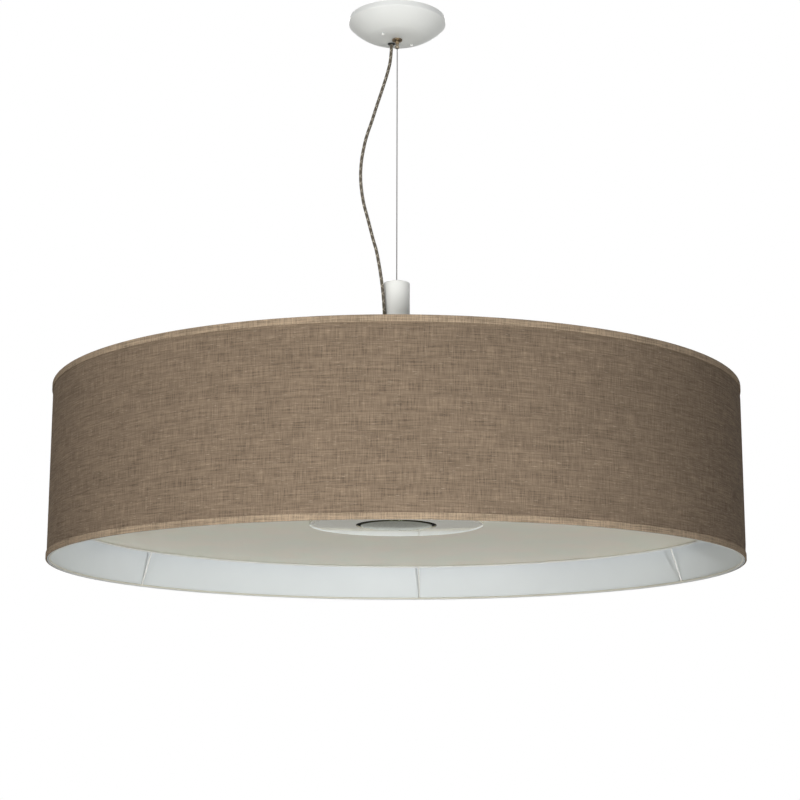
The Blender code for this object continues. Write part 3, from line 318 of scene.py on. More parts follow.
def makeWeave():
    # Plain-weave linen on a UV map in metres, U along the weft and V along the warp.
    inputs = [("Vector", "vector"), ("Base", "colour"), ("Pale", "colour"), ("Dark", "colour")]
    inputs += [("Thread", "value"), ("Contrast", "value")]
    tree, given, result = effect("linenWeave", inputs, [("Color", "colour"), ("Height", "value")])
    uv = given.outputs["Vector"]
    waver = patches(tree, uv, (90.0, 90.0, 1.0), 2.0)
    parts = node(tree, "SeparateXYZ", {"Vector": uv})
    shift = times(tree, waver, times(tree, given.outputs["Thread"], 2.5))
    across = plus(tree, parts.outputs["X"], shift)
    along = plus(tree, parts.outputs["Y"], shift)
    warpTurn = calc(tree, "DIVIDE", times(tree, across, math.pi), given.outputs["Thread"])
    weftTurn = calc(tree, "DIVIDE", times(tree, along, math.pi), given.outputs["Thread"])
    warpWave = calc(tree, "SINE", warpTurn)
    weftWave = calc(tree, "SINE", weftTurn)
    warpRound = calc(tree, "ABSOLUTE", warpWave)
    weftRound = calc(tree, "ABSOLUTE", weftWave)
    warpOver = calc(tree, "GREATER_THAN", times(tree, warpWave, weftWave), 0.0)
    weftOver = minus(tree, 1.0, warpOver)
    weave = plus(tree, times(tree, warpRound, warpOver), times(tree, weftRound, weftOver))

    warpStreak = patches(tree, uv, (800.0, 46.0, 1.0), 2.0, 3.1, 0.55)
    weftStreak = patches(tree, uv, (38.0, 800.0, 1.0), 2.0, 7.7, 0.55)
    longWeft = patches(tree, uv, (12.0, 560.0, 1.0), 2.0, 1.3)
    cloud = patches(tree, uv, (30.0, 40.0, 1.0), 3.0, 5.5)
    slub = between(tree, patches(tree, uv, (95.0, 900.0, 1.0), 1.0, 11.0), 0.655, 0.74)
    fleck = between(tree, patches(tree, uv, (260.0, 900.0, 1.0), 1.0, 17.0), 0.66, 0.75)
    tone = 1.0
    for share, part in ((0.42, warpStreak), (0.42, weftStreak), (0.18, longWeft), (0.07, cloud)):
        swing = times(tree, minus(tree, part, 0.5), share)
        tone = plus(tree, tone, times(tree, swing, given.outputs["Contrast"]))
    tone = times(tree, tone, between(tree, weave, 0.0, 0.7, 0.84, 1.05))
    colour = scaledColour(tree, given.outputs["Base"], tone)
    colour = blended(tree, times(tree, slub, 0.5), colour, given.outputs["Pale"])
    colour = blended(tree, times(tree, fleck, 0.6), colour, given.outputs["Dark"])
    height = plus(tree, times(tree, weave, 0.55), times(tree, slub, 0.35))
    height = plus(tree, height, times(tree, weftStreak, 0.4))
    tree.links.new(colour, result.inputs["Color"])
    tree.links.new(height, result.inputs["Height"])
    return tree


def makeSkin():
    # Paint, plastic, film and rubber: faint orange peel, a little dust and an uneven gloss.
    inputs = [("Vector", "vector"), ("Base", "colour")]
    inputs += [(label, "value") for label in ("Rough", "Grain", "Dust")]
    outputs = [("Color", "colour"), ("Roughness", "value"), ("Height", "value")]
    tree, given, result = effect("paintSkin", inputs, outputs)
    place = given.outputs["Vector"]
    scale = node(tree, "VectorMath", {0: place}, operation="SCALE")
    tree.links.new(given.outputs["Grain"], scale.inputs["Scale"])
    peel = patches(tree, scale.outputs[0], (1.0, 1.0, 1.0), 2.0)
    broad = patches(tree, place, (9.0, 9.0, 9.0), 3.0, 2.2)
    specks = between(tree, patches(tree, place, (700.0, 700.0, 700.0), 1.0, 4.1), 0.68, 0.78)
    tone = between(tree, broad, 0.3, 0.7, 0.975, 1.02)
    dust = times(tree, specks, given.outputs["Dust"])
    tone = minus(tree, tone, times(tree, dust, 0.12))
    gloss = plus(tree, given.outputs["Rough"], between(tree, broad, 0.3, 0.7, -0.035, 0.045))
    gloss = plus(tree, gloss, times(tree, dust, 0.2))
    tree.links.new(scaledColour(tree, given.outputs["Base"], tone), result.inputs["Color"])
    tree.links.new(gloss, result.inputs["Roughness"])
    tree.links.new(peel, result.inputs["Height"])
    return tree


def makeMetal():
    # Plated and drawn metal: fine scratches along Z, spots of tarnish, an uneven gloss.
    inputs = [("Vector", "vector"), ("Base", "colour"), ("Tarnish", "colour"), ("Rough", "value")]
    outputs = [("Color", "colour"), ("Roughness", "value"), ("Height", "value")]
    tree, given, result = effect("metalSkin", inputs, outputs)
    place = given.outputs["Vector"]
    scratch = patches(tree, place, (500.0, 500.0, 6000.0), 2.0)
    spots = between(tree, patches(tree, place, (240.0, 240.0, 240.0), 4.0, 3.3), 0.46, 0.68)
    colour = blended(tree, spots, given.outputs["Base"], given.outputs["Tarnish"])
    gloss = plus(tree, given.outputs["Rough"], between(tree, scratch, 0.3, 0.7, -0.06, 0.08))
    gloss = plus(tree, gloss, times(tree, spots, 0.1))
    tree.links.new(colour, result.inputs["Color"])
    tree.links.new(gloss, result.inputs["Roughness"])
    tree.links.new(scratch, result.inputs["Height"])
    return tree


def blank(name):
    made = bpy.data.materials.new(name)
    made.use_nodes = True
    tree = made.node_tree
    return made, tree, tree.nodes["Principled BSDF"]


def raised(tree, shader, height, distance, strength=1.0):
    bump = node(tree, "Bump", {"Height": height, "Distance": distance, "Strength": strength})
    tree.links.new(bump.outputs["Normal"], shader.inputs["Normal"])


def dressed(name, group, values, distance, uvMap=None, **constants):
    # A material that feeds one effect into a Principled shader; constants sit on the shader's own sockets.
    made, tree, shader = blank(name)
    used = tree.nodes.new("ShaderNodeGroup")
    used.node_tree = group
    if uvMap:
        place = node(tree, "UVMap", uv_map=uvMap).outputs["UV"]
    else:
        place = node(tree, "TexCoord").outputs["Object"]
    tree.links.new(place, used.inputs["Vector"])
    for label, value in values.items():
        used.inputs[label].default_value = (*value, 1.0) if isinstance(value, tuple) else value
    tree.links.new(used.outputs["Color"], shader.inputs["Base Color"])
    if "Roughness" in used.outputs:
        tree.links.new(used.outputs["Roughness"], shader.inputs["Roughness"])
    raised(tree, shader, used.outputs["Height"], distance)
    for label, value in constants.items():
        shader.inputs[label.replace("_", " ")].default_value = value
    return made


def clouded(material, cool, warm, scale):
    # Tint what the effect gives in broad soft patches, as rolled opal sheet shows.
    tree = material.node_tree
    shader = tree.nodes["Principled BSDF"]
    given = shader.inputs["Base Color"].links[0].from_socket
    place = node(tree, "TexCoord").outputs["Object"]
    share = between(tree, patches(tree, place, (scale, scale * 0.6, scale), 2.0, 6.6), 0.38, 0.62)
    tint = blended(tree, share, cool, warm)
    tree.links.new(blended(tree, 1.0, given, tint, "MULTIPLY"), shader.inputs["Base Color"])


def recoloured(base, name, tint, inside=None, outside=None, below=None):
    # A copy of a material with another colour inside or outside a radius, below a height, or both.
    made = base.copy()
    made.name = name
    tree = made.node_tree
    shader = tree.nodes["Principled BSDF"]
    given = shader.inputs["Base Color"].links[0].from_socket
    parts = node(tree, "SeparateXYZ", {"Vector": node(tree, "TexCoord").outputs["Object"]})
    share = calc(tree, "LESS_THAN", parts.outputs["Z"], 1.0 if below is None else below)
    if inside or outside:
        across = calc(tree, "POWER", parts.outputs["X"], 2.0)
        across = plus(tree, across, calc(tree, "POWER", parts.outputs["Y"], 2.0))
        across = calc(tree, "LESS_THAN" if inside else "GREATER_THAN", across, (inside or outside) ** 2)
        share = times(tree, share, across)
    toned = blended(tree, 1.0, given, (*tint, 1.0), "MULTIPLY")
    tree.links.new(blended(tree, share, given, toned), shader.inputs["Base Color"])
    return made


# Braided cord: two sets of threads cross each other, one thread of each set is pale

cordSizes = {
    "radius": 0.0025,
    "threads": 8,  # in each direction
    "lay": 0.0120,  # one turn of a thread along the cord
    "relief": 0.00012,
    "sides": 32,
    "ringGap": 0.00032,
    "routeGap": 0.004,
    "colours": ((0.108, 0.089, 0.062), (0.060, 0.048, 0.034), (0.72, 0.66, 0.55)),
}

cordRoute = [
    (-0.0090, 0.0164, -0.0347),
    (-0.0093, 0.0164, -0.046),
    (-0.0111, 0.0160, -0.064),
    (-0.0155, 0.0153, -0.083),
    (-0.0209, 0.0143, -0.102),
    (-0.0263, 0.0132, -0.120),
    (-0.0318, 0.0118, -0.138),
    (-0.0387, 0.0098, -0.162),
    (-0.0444, 0.0081, -0.180),
    (-0.0484, 0.0066, -0.195),
    (-0.0518, 0.0047, -0.213),
    (-0.0539, 0.0031, -0.228),
    (-0.0550, 0.0012, -0.245),
    (-0.0549, -0.0004, -0.258),
    (-0.0542, -0.0013, -0.269),
    (-0.0524, -0.0029, -0.284),
    (-0.0493, -0.0047, -0.301),
    (-0.0434, -0.0069, -0.324),
    (-0.0352, -0.0098, -0.357),
    (-0.0305, -0.0112, -0.374),
    (-0.0252, -0.0130, -0.403),
    (-0.0211, -0.0144, -0.433),
    (-0.0191, -0.0151, -0.457),
    (-0.0181, -0.0155, -0.482),
    (-0.0183, -0.0158, -0.512),
    (-0.0197, -0.0167, -0.543),
    (-0.0208, -0.0176, -0.563),
    (-0.0210, -0.0178, -0.5770),
]


def smoothLine(route, gap):
    # Evenly spaced points on a smooth curve through the route's own points.
    route = [Vector(point) for point in route]
    ends = [2 * route[0] - route[1]] + route + [2 * route[-1] - route[-2]]
    fine = []
    for a, b, c, d in zip(ends, ends[1:], ends[2:], ends[3:]):
        count = math.ceil((c - b).length * 4 / gap)
        for i in range(count):
            t = i / count
            rise = 2 * b + (c - a) * t + (2 * a - 5 * b + 4 * c - d) * t * t
            fine.append((rise + (3 * b - a - 3 * c + d) * t * t * t) / 2)
    fine.append(route[-1])
    length = sum((q - p).length for p, q in zip(fine, fine[1:]))
    even = length / round(length / gap)
    spaced, walked = [fine[0]], 0.0
    for p, q in zip(fine, fine[1:]):
        span = (q - p).length
        while walked + span >= even * len(spaced) and even * len(spaced) < length - even / 2:
            spaced.append(p.lerp(q, (even * len(spaced) - walked) / span))
        walked += span
    spaced.append(fine[-1])
    return spaced


def lineLength(points):
    return sum((q - p).length for p, q in zip(points, points[1:]))


def lineFrames(points):
    # A centre and two cross directions at each point, carried along without twist.
    frames = []
    side = Vector((1, 0, 0))
    for i, point in enumerate(points):
        ahead = points[min(i + 1, len(points) - 1)] - points[max(i - 1, 0)]
        ahead.normalize()
        side = (side - ahead * side.dot(ahead)).normalized()
        frames.append((point, side.copy(), ahead.cross(side)))
    return frames


def wrapped(columns, rows, place, uvAt, name, closedRows=False):
    # Bend a flat grid round into a closed skin: place(i, j) gives a point, uvAt(i, j) its map point.
    bm = bmesh.new()
    uv = bm.loops.layers.uv.new(name)
    bmesh.ops.create_grid(bm, x_segments=columns, y_segments=rows, size=0.5)
    spot = {}
    for vert in bm.verts:
        spot[vert] = (round((vert.co.x + 0.5) * columns), round((vert.co.y + 0.5) * rows))
    for face in bm.faces:
        for loop in face.loops:
            loop[uv].uv = uvAt(*spot[loop.vert])
    for vert, (i, j) in spot.items():
        vert.co = place(i, j)
    bmesh.ops.remove_doubles(bm, verts=bm.verts, dist=mergeGap)
    if not closedRows:
        bmesh.ops.holes_fill(bm, edges=[e for e in bm.edges if e.is_boundary], sides=0)
    bmesh.ops.recalc_face_normals(bm, faces=bm.faces)
    return bm


def swept(points, radiusAt, sides, first=0.0):
    # A round tube along a line with closed ends: U runs once round it, V along it in metres from first.
    frames = lineFrames(points)
    spots = [first]
    for a, b in zip(points, points[1:]):
        spots.append(spots[-1] + (b - a).length)

    def place(i, j):
        centre, side, up = frames[i]
        share = (j % sides) / sides
        turn = math.tau * share
        return centre + (side * math.cos(turn) + up * math.sin(turn)) * radiusAt(share, spots[i])

    def uvAt(i, j):
        return (j / sides, spots[i])

    return wrapped(len(points) - 1, sides, place, uvAt, "along")


def evenTube(points, radius, sides):
    return swept(points, lambda share, spot: radius, sides)


def braidRelief(share, spot):
    # The outer surface of the crossing threads: whichever set lies on top stands proud.
    threads, lay = cordSizes["threads"], cordSizes["lay"]
    a = threads * (share + spot / lay)
    b = threads * (share - spot / lay)
    riseA = abs(math.sin(math.pi * a))
    riseB = abs(math.sin(math.pi * b))
    over = (math.floor(a) + math.floor(b)) % 2 == 0
    rise = max(riseA, 0.45 * riseB) if over else max(riseB, 0.45 * riseA)
    return cordSizes["radius"] + cordSizes["relief"] * (rise - 1)


def makeBraidMaterial():
    made, tree, shader = blank("textile_cord")
    ground, dark, pale = cordSizes["colours"]
    threads, lay = cordSizes["threads"], cordSizes["lay"]
    uv = node(tree, "UVMap", uv_map="along").outputs["UV"]
    parts = node(tree, "SeparateXYZ", {"Vector": uv})
    wound = calc(tree, "DIVIDE", parts.outputs["Y"], lay)
    sets = []
    for operation in ("ADD", "SUBTRACT"):
        count = times(tree, calc(tree, operation, parts.outputs["X"], wound), float(threads))
        whole = calc(tree, "FLOOR", count)
        rise = calc(tree, "ABSOLUTE", calc(tree, "SINE", times(tree, count, math.pi)))
        sets.append((whole, rise, calc(tree, "FLOORED_MODULO", whole, float(threads))))
    crossing = calc(tree, "FLOORED_MODULO", plus(tree, sets[0][0], sets[1][0]), 2.0)
    firstOver = calc(tree, "LESS_THAN", crossing, 0.5)
    secondOver = minus(tree, 1.0, firstOver)
    flags = [calc(tree, "COMPARE", sets[k][2], 1.0 + 3 * k, 0.5) for k in (0, 1)]
    topPale = plus(tree, times(tree, flags[0], firstOver), times(tree, flags[1], secondOver))
    topRise = plus(tree, times(tree, sets[0][1], firstOver), times(tree, sets[1][1], secondOver))
    fuzz = patches(tree, uv, (30.0, 2600.0, 1.0), 3.0)
    colour = blended(tree, between(tree, topRise, 0.15, 0.85), (*dark, 1.0), (*ground, 1.0))
    colour = blended(tree, times(tree, topPale, 0.9), colour, (*pale, 1.0))
    colour = scaledColour(tree, colour, between(tree, fuzz, 0.25, 0.75, 0.72, 1.26))
    tree.links.new(colour, shader.inputs["Base Color"])
    shader.inputs["Roughness"].default_value = 0.85
    shader.inputs["Sheen Weight"].default_value = 0.25
    height = plus(tree, topRise, times(tree, fuzz, 0.5))
    raised(tree, shader, height, 0.00012, 0.7)
    return made


def makeCord(material, grommet, relief):
    # Four stretches end to end, cut at given heights between the canopy and the pendant.
    line = smoothLine(cordRoute, cordSizes["ringGap"])
    joins = (
        ("cord_at_canopy", "canopy", "gripper", -0.075),
        ("cord_upper", "gripper", "wire", -0.115),
        ("cord_middle", "wire", "ferrule", -0.440),
        ("cord_lower", "ferrule", "pendant", line[-1].z),
    )
    done, first = 0, 0.0
    for name, above, below, end in joins:
        last = max(i for i, point in enumerate(line) if point.z >= end)
        points = line[done:last + 1]
        length = lineLength(points)
        bm = swept(points, braidRelief, cordSizes["sides"], first)
        made = piece(name, bm, material, None, "power_cord")
        tuple(points[0])
        tuple(points[-1])
        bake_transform(made)
        step = round(cordSizes["routeGap"] / cordSizes["ringGap"])
        path = points[:-1:step] + [points[-1]]
        tuple(points[0])
        [tuple(point) for point in path]
        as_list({"cord_at_canopy": [grommet], "cord_lower": [relief]}.get(name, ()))
        done, first = last, first + length
    print("cord made, metres:", round(first, 4))


# Suspension wire: six strands laid round a straight one

wireSizes = {
    "strand": 0.00025,
    "strands": 6,
    "lay": 0.0085,
    "pointsPerTurn": 12,
    "sides": 8,
}


def strandedWire(low, high):
    strand, lay = wireSizes["strand"], wireSizes["lay"]
    count = math.ceil((high - low) / lay * wireSizes["pointsPerTurn"])
    heights = [low + (high - low) * i / count for i in range(count + 1)]
    core = [Vector((0, 0, height)) for height in (low, (low + high) / 2, high)]
    parts = [evenTube(core, strand, wireSizes["sides"])]
    for turn in around(wireSizes["strands"]):
        line = [polar(2 * strand, turn + math.tau * height / lay, height) for height in heights]
        parts.append(evenTube(line, strand, wireSizes["sides"]))
    return gathered(parts)


def makeWire(steel):
    low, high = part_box("suspension_wire")
    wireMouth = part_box("release_nozzle")[0].z
    piece("wire_tail", strandedWire(wireMouth, high.z), steel, "gripper", "suspension_wire")
    hanging = piece("wire_hanging", strandedWire(low.z, wireMouth), steel, None, "suspension_wire")
    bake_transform(hanging)
    print("wire made")


# Shade: linen skin, white liner, and a strip of the same cloth folded over each edge

shadeSizes = {
    "clothThickness": 0.0008,
    "filmThickness": 0.0008,
    "columns": 720,
    "rows": 36,
    "lapTurn": math.radians(-11),  # the lap sits where the cloth turns away from the camera
    "lapWidth": 0.013,
    "lapStep": 0.0006,
    "lapClear": 0.010,  # the lap fades out this far from each edge
    "linerColumns": 360,
    "linerRows": 12,
}


def lapShare(turn, radius, width):
    # 1 over the lap, falling to 0 over a millimetre at each side.
    away = (turn - shadeSizes["lapTurn"] + math.pi) % math.tau - math.pi
    return min(1.0, max(0.0, (width / 2 - abs(away) * radius) / 0.001 + 1))


def clothUv(radius, columns, run):
    def uvAt(i, j):
        return (math.tau * radius * i / columns, run[j])
    return uvAt


def bandSkin(outline, columns, bulge=None):
    # Wrap a closed outline of (radius, height) points round Z, with a map that runs along the cloth.
    run = [0.0]
    closed = outline + outline[:1]
    for a, b in zip(closed, closed[1:]):
        run.append(run[-1] + math.dist(a, b))
    widest = max(radius for radius, height in outline)

    def place(i, j):
        radius, height = closed[j]
        turn = math.tau * (i % columns) / columns
        if bulge:
            radius, height = bulge(j % len(outline), turn, radius, height)
        return polar(radius, turn, height)

    return wrapped(columns, len(outline), place, clothUv(widest, columns, run), "weave", closedRows=True)


def divided(start, end, count):
    return [
        (start[0] + (end[0] - start[0]) * i / count, start[1] + (end[1] - start[1]) * i / count)
        for i in range(count)
    ]


def makeFabric(linen):
    outer, low, high = reach("shade_fabric")
    inner = outer - shadeSizes["clothThickness"]
    fold = shadeSizes["lapClear"]
    outline = divided((outer, low), (outer, high), shadeSizes["rows"])
    outline += [(outer, high), (inner, high), (inner, low)]

    def lapped(j, turn, radius, height):
        if radius < outer:
            return radius, height
        clear = min(1.0, max(0.0, (min(height - low, high - height) - fold) / fold))
        lap = lapShare(turn, radius, shadeSizes["lapWidth"])
        return radius + shadeSizes["lapStep"] * lap * clear, height

    piece("shade_cloth", bandSkin(outline, shadeSizes["columns"], lapped), linen, "pendant", "shade_fabric")
    print("shade cloth made")


def makeLiner(film):
    outer, low, high = reach("shade_liner")
    inner = outer - shadeSizes["filmThickness"]
    outline = [(outer, low), (outer, high), (inner, high)]
    outline += divided((inner, high), (inner, low), shadeSizes["linerRows"])[1:] + [(inner, low)]
    piece("shade_film", bandSkin(outline, shadeSizes["linerColumns"]), film, "pendant", "shade_liner")
    print("liner made")


trimSizes = {
    "columns": 720,
    "thickness": 0.0011,
    "lip": 0.0022,  # the strip turns in this far over the cloth's edge
    "corner": 0.0009,
    "waver": 0.00020,
    "swell": 0.00010,
}


def trimOutline(outer, edge, inward, leg):
    # The strip from its turned-in lip, round the shade's rim and up the outside to its free edge.
    thick, corner = trimSizes["thickness"], trimSizes["corner"]
    points = divided((outer - trimSizes["lip"], 0), (outer - corner, 0), 3)
    for angle in (270, 290, 315, 340):
        turn = math.radians(angle)
        points.append((outer - corner + corner * math.cos(turn), corner + corner * math.sin(turn)))
    points += [(outer, leg * share) for share in (0.12, 0.3, 0.5, 0.7, 0.88)]
    points += [(outer - 0.0002, leg * 0.97), (outer - 0.0006, leg), (outer - thick, leg)]
    points += [(outer - thick, thick), (outer - trimSizes["lip"], thick)]
    return [(radius, edge + inward * height) for radius, height in points]


def makeTrims(cloth):
    for name, inward in (("bottom_trim", 1), ("top_trim", -1)):
        outer, low, high = reach(name)
        edge = low if inward > 0 else high
        outline = trimOutline(outer, edge, inward, high - low)

        def uneven(j, turn, radius, height):
            # Hand-laid: its free edge wavers and its face swells a little, always inside its own space.
            along = polar(6.0, turn, inward * 3.0)
            wave = noise.noise(along * 4.0) + 0.5 * noise.noise(along * 13.0)
            if abs(height - edge) > 0.004:
                height -= inward * trimSizes["waver"] * (0.75 + wave * 0.5)
            if radius > outer - 0.0004:
                radius -= trimSizes["swell"] * (0.75 + wave * 0.6)
            return radius, height

        piece(f"{name}_cloth", bandSkin(outline, trimSizes["columns"], uneven), cloth, "pendant", name)
    print("trims made")


# Diffuser: a shallow dish of opal sheet, open in the middle for the lamp housing

diffuserSizes = {
    "thickness": 0.003,
    "crown": 0.0085,
    "hole": 0.072,
    "edge": 0.0006,
    "rings": 30,
    "steps": 200,
}


def makeDiffuser(opal):
    outer, low, _ = reach("diffuser")
    hole, rings, edge = diffuserSizes["hole"], diffuserSizes["rings"], diffuserSizes["edge"]

    def under(radius):
        return low + diffuserSizes["crown"] * (1 - (radius / outer) ** 2)

    radii = [hole + (outer - hole) * i / rings for i in range(rings + 1)]
    outline = [(radius, under(radius), edge if radius in (radii[0], radii[-1]) else 0) for radius in radii]
    upper = [(radius, height + diffuserSizes["thickness"], soft) for radius, height, soft in outline]
    bm = turned(eased(outline + upper[::-1]), diffuserSizes["steps"])
    piece("diffuser_sheet", bm, opal, "diffuser", "diffuser")
    print("diffuser made")


# Centre plate with its studs, the lamp housing over it, and the spot lamp

plateSizes = {
    "hole": 0.059,
    "thickness": 0.002,
    "round": 0.0006,
    "studs": 3,
    "studRadius": 0.0015,
    "firstStud": math.radians(54.5),
    "flange": 0.0083,
    "wall": 0.0012,
    "shoulder": 0.052,
    "top": 0.036,
    "tubeHole": 0.0053,
    "bead": 0.012,  # height of the groove rolled into the housing
    "inside": (0.045, 0.045, 0.042),  # painted shade: how much darker the housing is drawn inside, where its recess lies in shade
}


def makePlate(paint, satin):
    outer, low, high = reach("centre_plate")
    top = low + plateSizes["thickness"]
    hole, soft = plateSizes["hole"], plateSizes["round"]
    radii = [hole + (outer - hole) * i / 8 for i in range(9)]
    lower = [(radius, low, soft if i == 8 else 0) for i, radius in enumerate(radii)]
    parts = [turned(eased(lower + [(outer, top, soft), (hole, top)]), 192)]
    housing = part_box("lamp_housing")
    flange, wall = housing[1].x, plateSizes["wall"]
    body = flange - plateSizes["flange"]
    circle = (flange + body) / 2
    for turn in around(plateSizes["studs"], plateSizes["firstStud"]):
        foot, head = polar(circle, turn, top - 0.0005), polar(circle, turn, high)
        parts.append(rod(foot, head, plateSizes["studRadius"], 16, 0.0003))
    piece("centre_plate_painted", gathered(parts), paint, "pendant", "centre_plate")

    base, crest = housing[0].z, housing[1].z
    shoulder = base + plateSizes["shoulder"]
    outline = [
        (body - wall, base, 0.0004),
        (flange, base, 0.0004),
        (flange, base + wall, 0.0004),
        (body, base + wall, 0.0008),
        (body, base + plateSizes["bead"], 0.0003),
        (body - 0.0005, base + plateSizes["bead"] + 0.0015, 0.0004),
        (body, base + plateSizes["bead"] + 0.0030, 0.0003),
        (body, shoulder, 0.005),
        (plateSizes["top"], crest, 0.002),
        (plateSizes["tubeHole"], crest, 0.0003),
        (plateSizes["tubeHole"], crest - wall, 0.0003),
        (plateSizes["top"] - wall / 2, crest - wall, 0.001),
        (body - wall, shoulder - wall / 2, 0.004),
    ]
    # Painted shade: the housing is drawn darker inside and below its shoulder, where the recess round the
    # lamp lies in shade
    within = {"inside": body - wall / 2, "below": shoulder - 0.003}
    dark = recoloured(satin, "housing_painted_shade", plateSizes["inside"], **within)
    bm = turned(eased(outline), 128)
    piece("lamp_housing_can", bm, dark, "pendant", "lamp_housing", slot="white_paint")
    print("plate and housing made")


lampSizes = {
    "lensRadius": 0.0522,
    "lensSag": 0.0019,
    "lensDrop": 0.0029,  # its lowest point under the centre plate
    # the lens's outer rim is drawn dark over this width and in this tint: painted shade of the gap round
    # the lamp
    "rimShadeWidth": 0.0007,
    "rimPaintedShade": (0.16, 0.16, 0.14),
    "rim": 0.0062,
    "neck": 0.013,
    "baseRadius": 0.0135,
    "rings": 20,
    "pinRadius": 0.0012,
    "pinSpread": 0.0050,
    "pinLength": 0.0078,
}


def makeLamp(glass, silver):
    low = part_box("centre_plate")[0].z - lampSizes["lensDrop"]
    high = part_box("spot_lamp_lens")[1].z
    radius, sag = lampSizes["lensRadius"], lampSizes["lensSag"]
    swell = (radius**2 + sag**2) / (2 * sag)
    face = []
    for i in range(lampSizes["rings"] + 1):
        out = radius * i / lampSizes["rings"]
        face.append((out, low + swell - math.sqrt(swell**2 - out**2)))
    edge = low + sag
    outline = face[:-1] + [(radius, edge, 0.0006), (radius, high, 0.0004), (0, high)]
    bm = turned(eased(outline), 128)
    # Painted shade: a dark band round the lens's edge stands in for the shaded gap between lamp and plate.
    rimShaded = recoloured(glass, "lens_rim_painted_shade", lampSizes["rimPaintedShade"], outside=radius - lampSizes["rimShadeWidth"])
    piece("spot_lens", bm, rimShaded, "spot_lamp", "spot_lamp_lens", slot="satin_lens")

    outer, low, high = reach("spot_lamp_body")
    base = lampSizes["baseRadius"]
    rimTop = low + lampSizes["rim"]
    top = high - lampSizes["pinLength"]
    neck = top - lampSizes["neck"]
    bowl = []
    for i in range(1, 25):
        turn = math.pi / 2 * i / 24
        bowl.append((base + (outer - base) * math.cos(turn), rimTop + (neck - rimTop) * math.sin(turn)))
    outline = [(0, low), (outer, low, 0.001), (outer, rimTop, 0.001), (outer - 0.0012, rimTop, 0.0004)]
    outline += [spot for spot in bowl if spot[0] < outer - 0.0016]
    outline += [(base, top, 0.0012), (0, top)]
    parts = [turned(eased(outline), 128)]
    for side in (-1, 1):
        place = Vector((side * lampSizes["pinSpread"], 0, 0))
        foot, tip = place + Vector((0, 0, top - 0.0008)), place + Vector((0, 0, high))
        parts.append(rod(foot, tip, lampSizes["pinRadius"], 16, 0.0003))
    piece("spot_lamp_shell", gathered(parts), silver, "spot_lamp", "spot_lamp_body")
    print("spot lamp made")


# Welded wire frames: rings, leaning posts, and the spider of arms with its hub plate

frameSizes = {
    "ringRadius": 0.0015,
    "supportWire": 0.0014,
    "post": 0.0012,
    "arm": 0.0025,
    "armInner": 0.034,
    "posts": 6,
    "firstPost": math.radians(25.5),
    "hubThickness": 0.0025,
    "sides": 16,
    "steps": 240,
    "tape": (0.95, 0.925, 0.84),  # tint of the bottom ring
}


def wireRing(radius, height, wire):
    turns = around(frameSizes["sides"])
    section = [(radius + wire * math.cos(turn), height + wire * math.sin(turn)) for turn in turns]
    return turned(section, frameSizes["steps"])


def makeFrames(paint):
    wire = frameSizes["ringRadius"]
    turns = around(frameSizes["posts"], frameSizes["firstPost"])

    outer, _, high = reach("support_ring")
    thin = frameSizes["supportWire"]
    seat, seatHeight = outer - thin, high - thin
    piece("support_ring_wire", wireRing(seat, seatHeight, thin), paint, "pendant", "support_ring")

    outer, low, _ = reach("bottom_frame")
    middle = outer - wire
    parts = [wireRing(middle, low + wire, wire)]
    for turn in turns:
        foot, top = polar(middle, turn, low + wire), polar(seat, turn, seatHeight)
        lean = (top - foot).normalized()
        head = top - lean * (thin + 0.0001)
        parts.append(rod(foot, head, frameSizes["post"], 16))
        spin = Matrix.Rotation(turn, 4, "Z")
        parts.append(bead(foot + lean * 0.0016 + polar(-0.0006, turn), (0.0014, 0.0024, 0.0013), spin))
        parts.append(bead(head - lean * 0.0003, (0.0014, 0.0019, 0.0009), spin))
    taped = recoloured(paint, "frame_paint", frameSizes["tape"], below=low + 2 * wire + 0.0001)
    piece("bottom_frame_wires", gathered(parts), taped, "pendant", "bottom_frame", slot="white_paint")

    outer, low, high = reach("top_ring")
    piece("top_ring_wire", wireRing(outer - wire, (low + high) / 2, wire), paint, "pendant", "top_ring")

    low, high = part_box("spider")
    arm = frameSizes["arm"]
    armHeight = low.z + arm
    reached = max(v.co.xy.length for v in frame["nodes"]["spider"].data.vertices)
    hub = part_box("box_lid")[1].x + 0.002
    under = high.z - frameSizes["hubThickness"]
    outline = [(0, under), (hub, under, 0.0005), (hub, high.z, 0.0007), (0, high.z)]
    parts = [turned(eased(outline), 128)]
    for turn in turns:
        inner, tip = polar(frameSizes["armInner"], turn, armHeight), polar(reached, turn, armHeight)
        parts.append(rod(inner, tip, arm, 20, 0.0006))
        spin = Matrix.Rotation(turn, 4, "Z")
        for side in (-1, 1):
            place = polar(hub - 0.0006, turn, under - 0.0006) + polar(side * 0.0022, turn + math.pi / 2)
            parts.append(bead(place, (0.0022, 0.0011, 0.0010), spin))
    piece("spider_welded", gathered(parts), paint, "pendant", "spider")
    print("frames made")


# Stem, its nipple, the ferrule, and the ribbed cord relief

stemSizes = {
    "wall": 0.0015,
    "edge": 0.0018,
    "roof": 0.002,
    "hole": 0.0043,
    "flange": 0.0024,
    "shank": 0.0040,
    "bore": 0.00105,
    "reliefFoot": 0.0030,
    "reliefTip": 0.0038,
    "reliefShank": 0.0040,
    "reliefHeight": 0.0213,
    "ribs": 6,
}


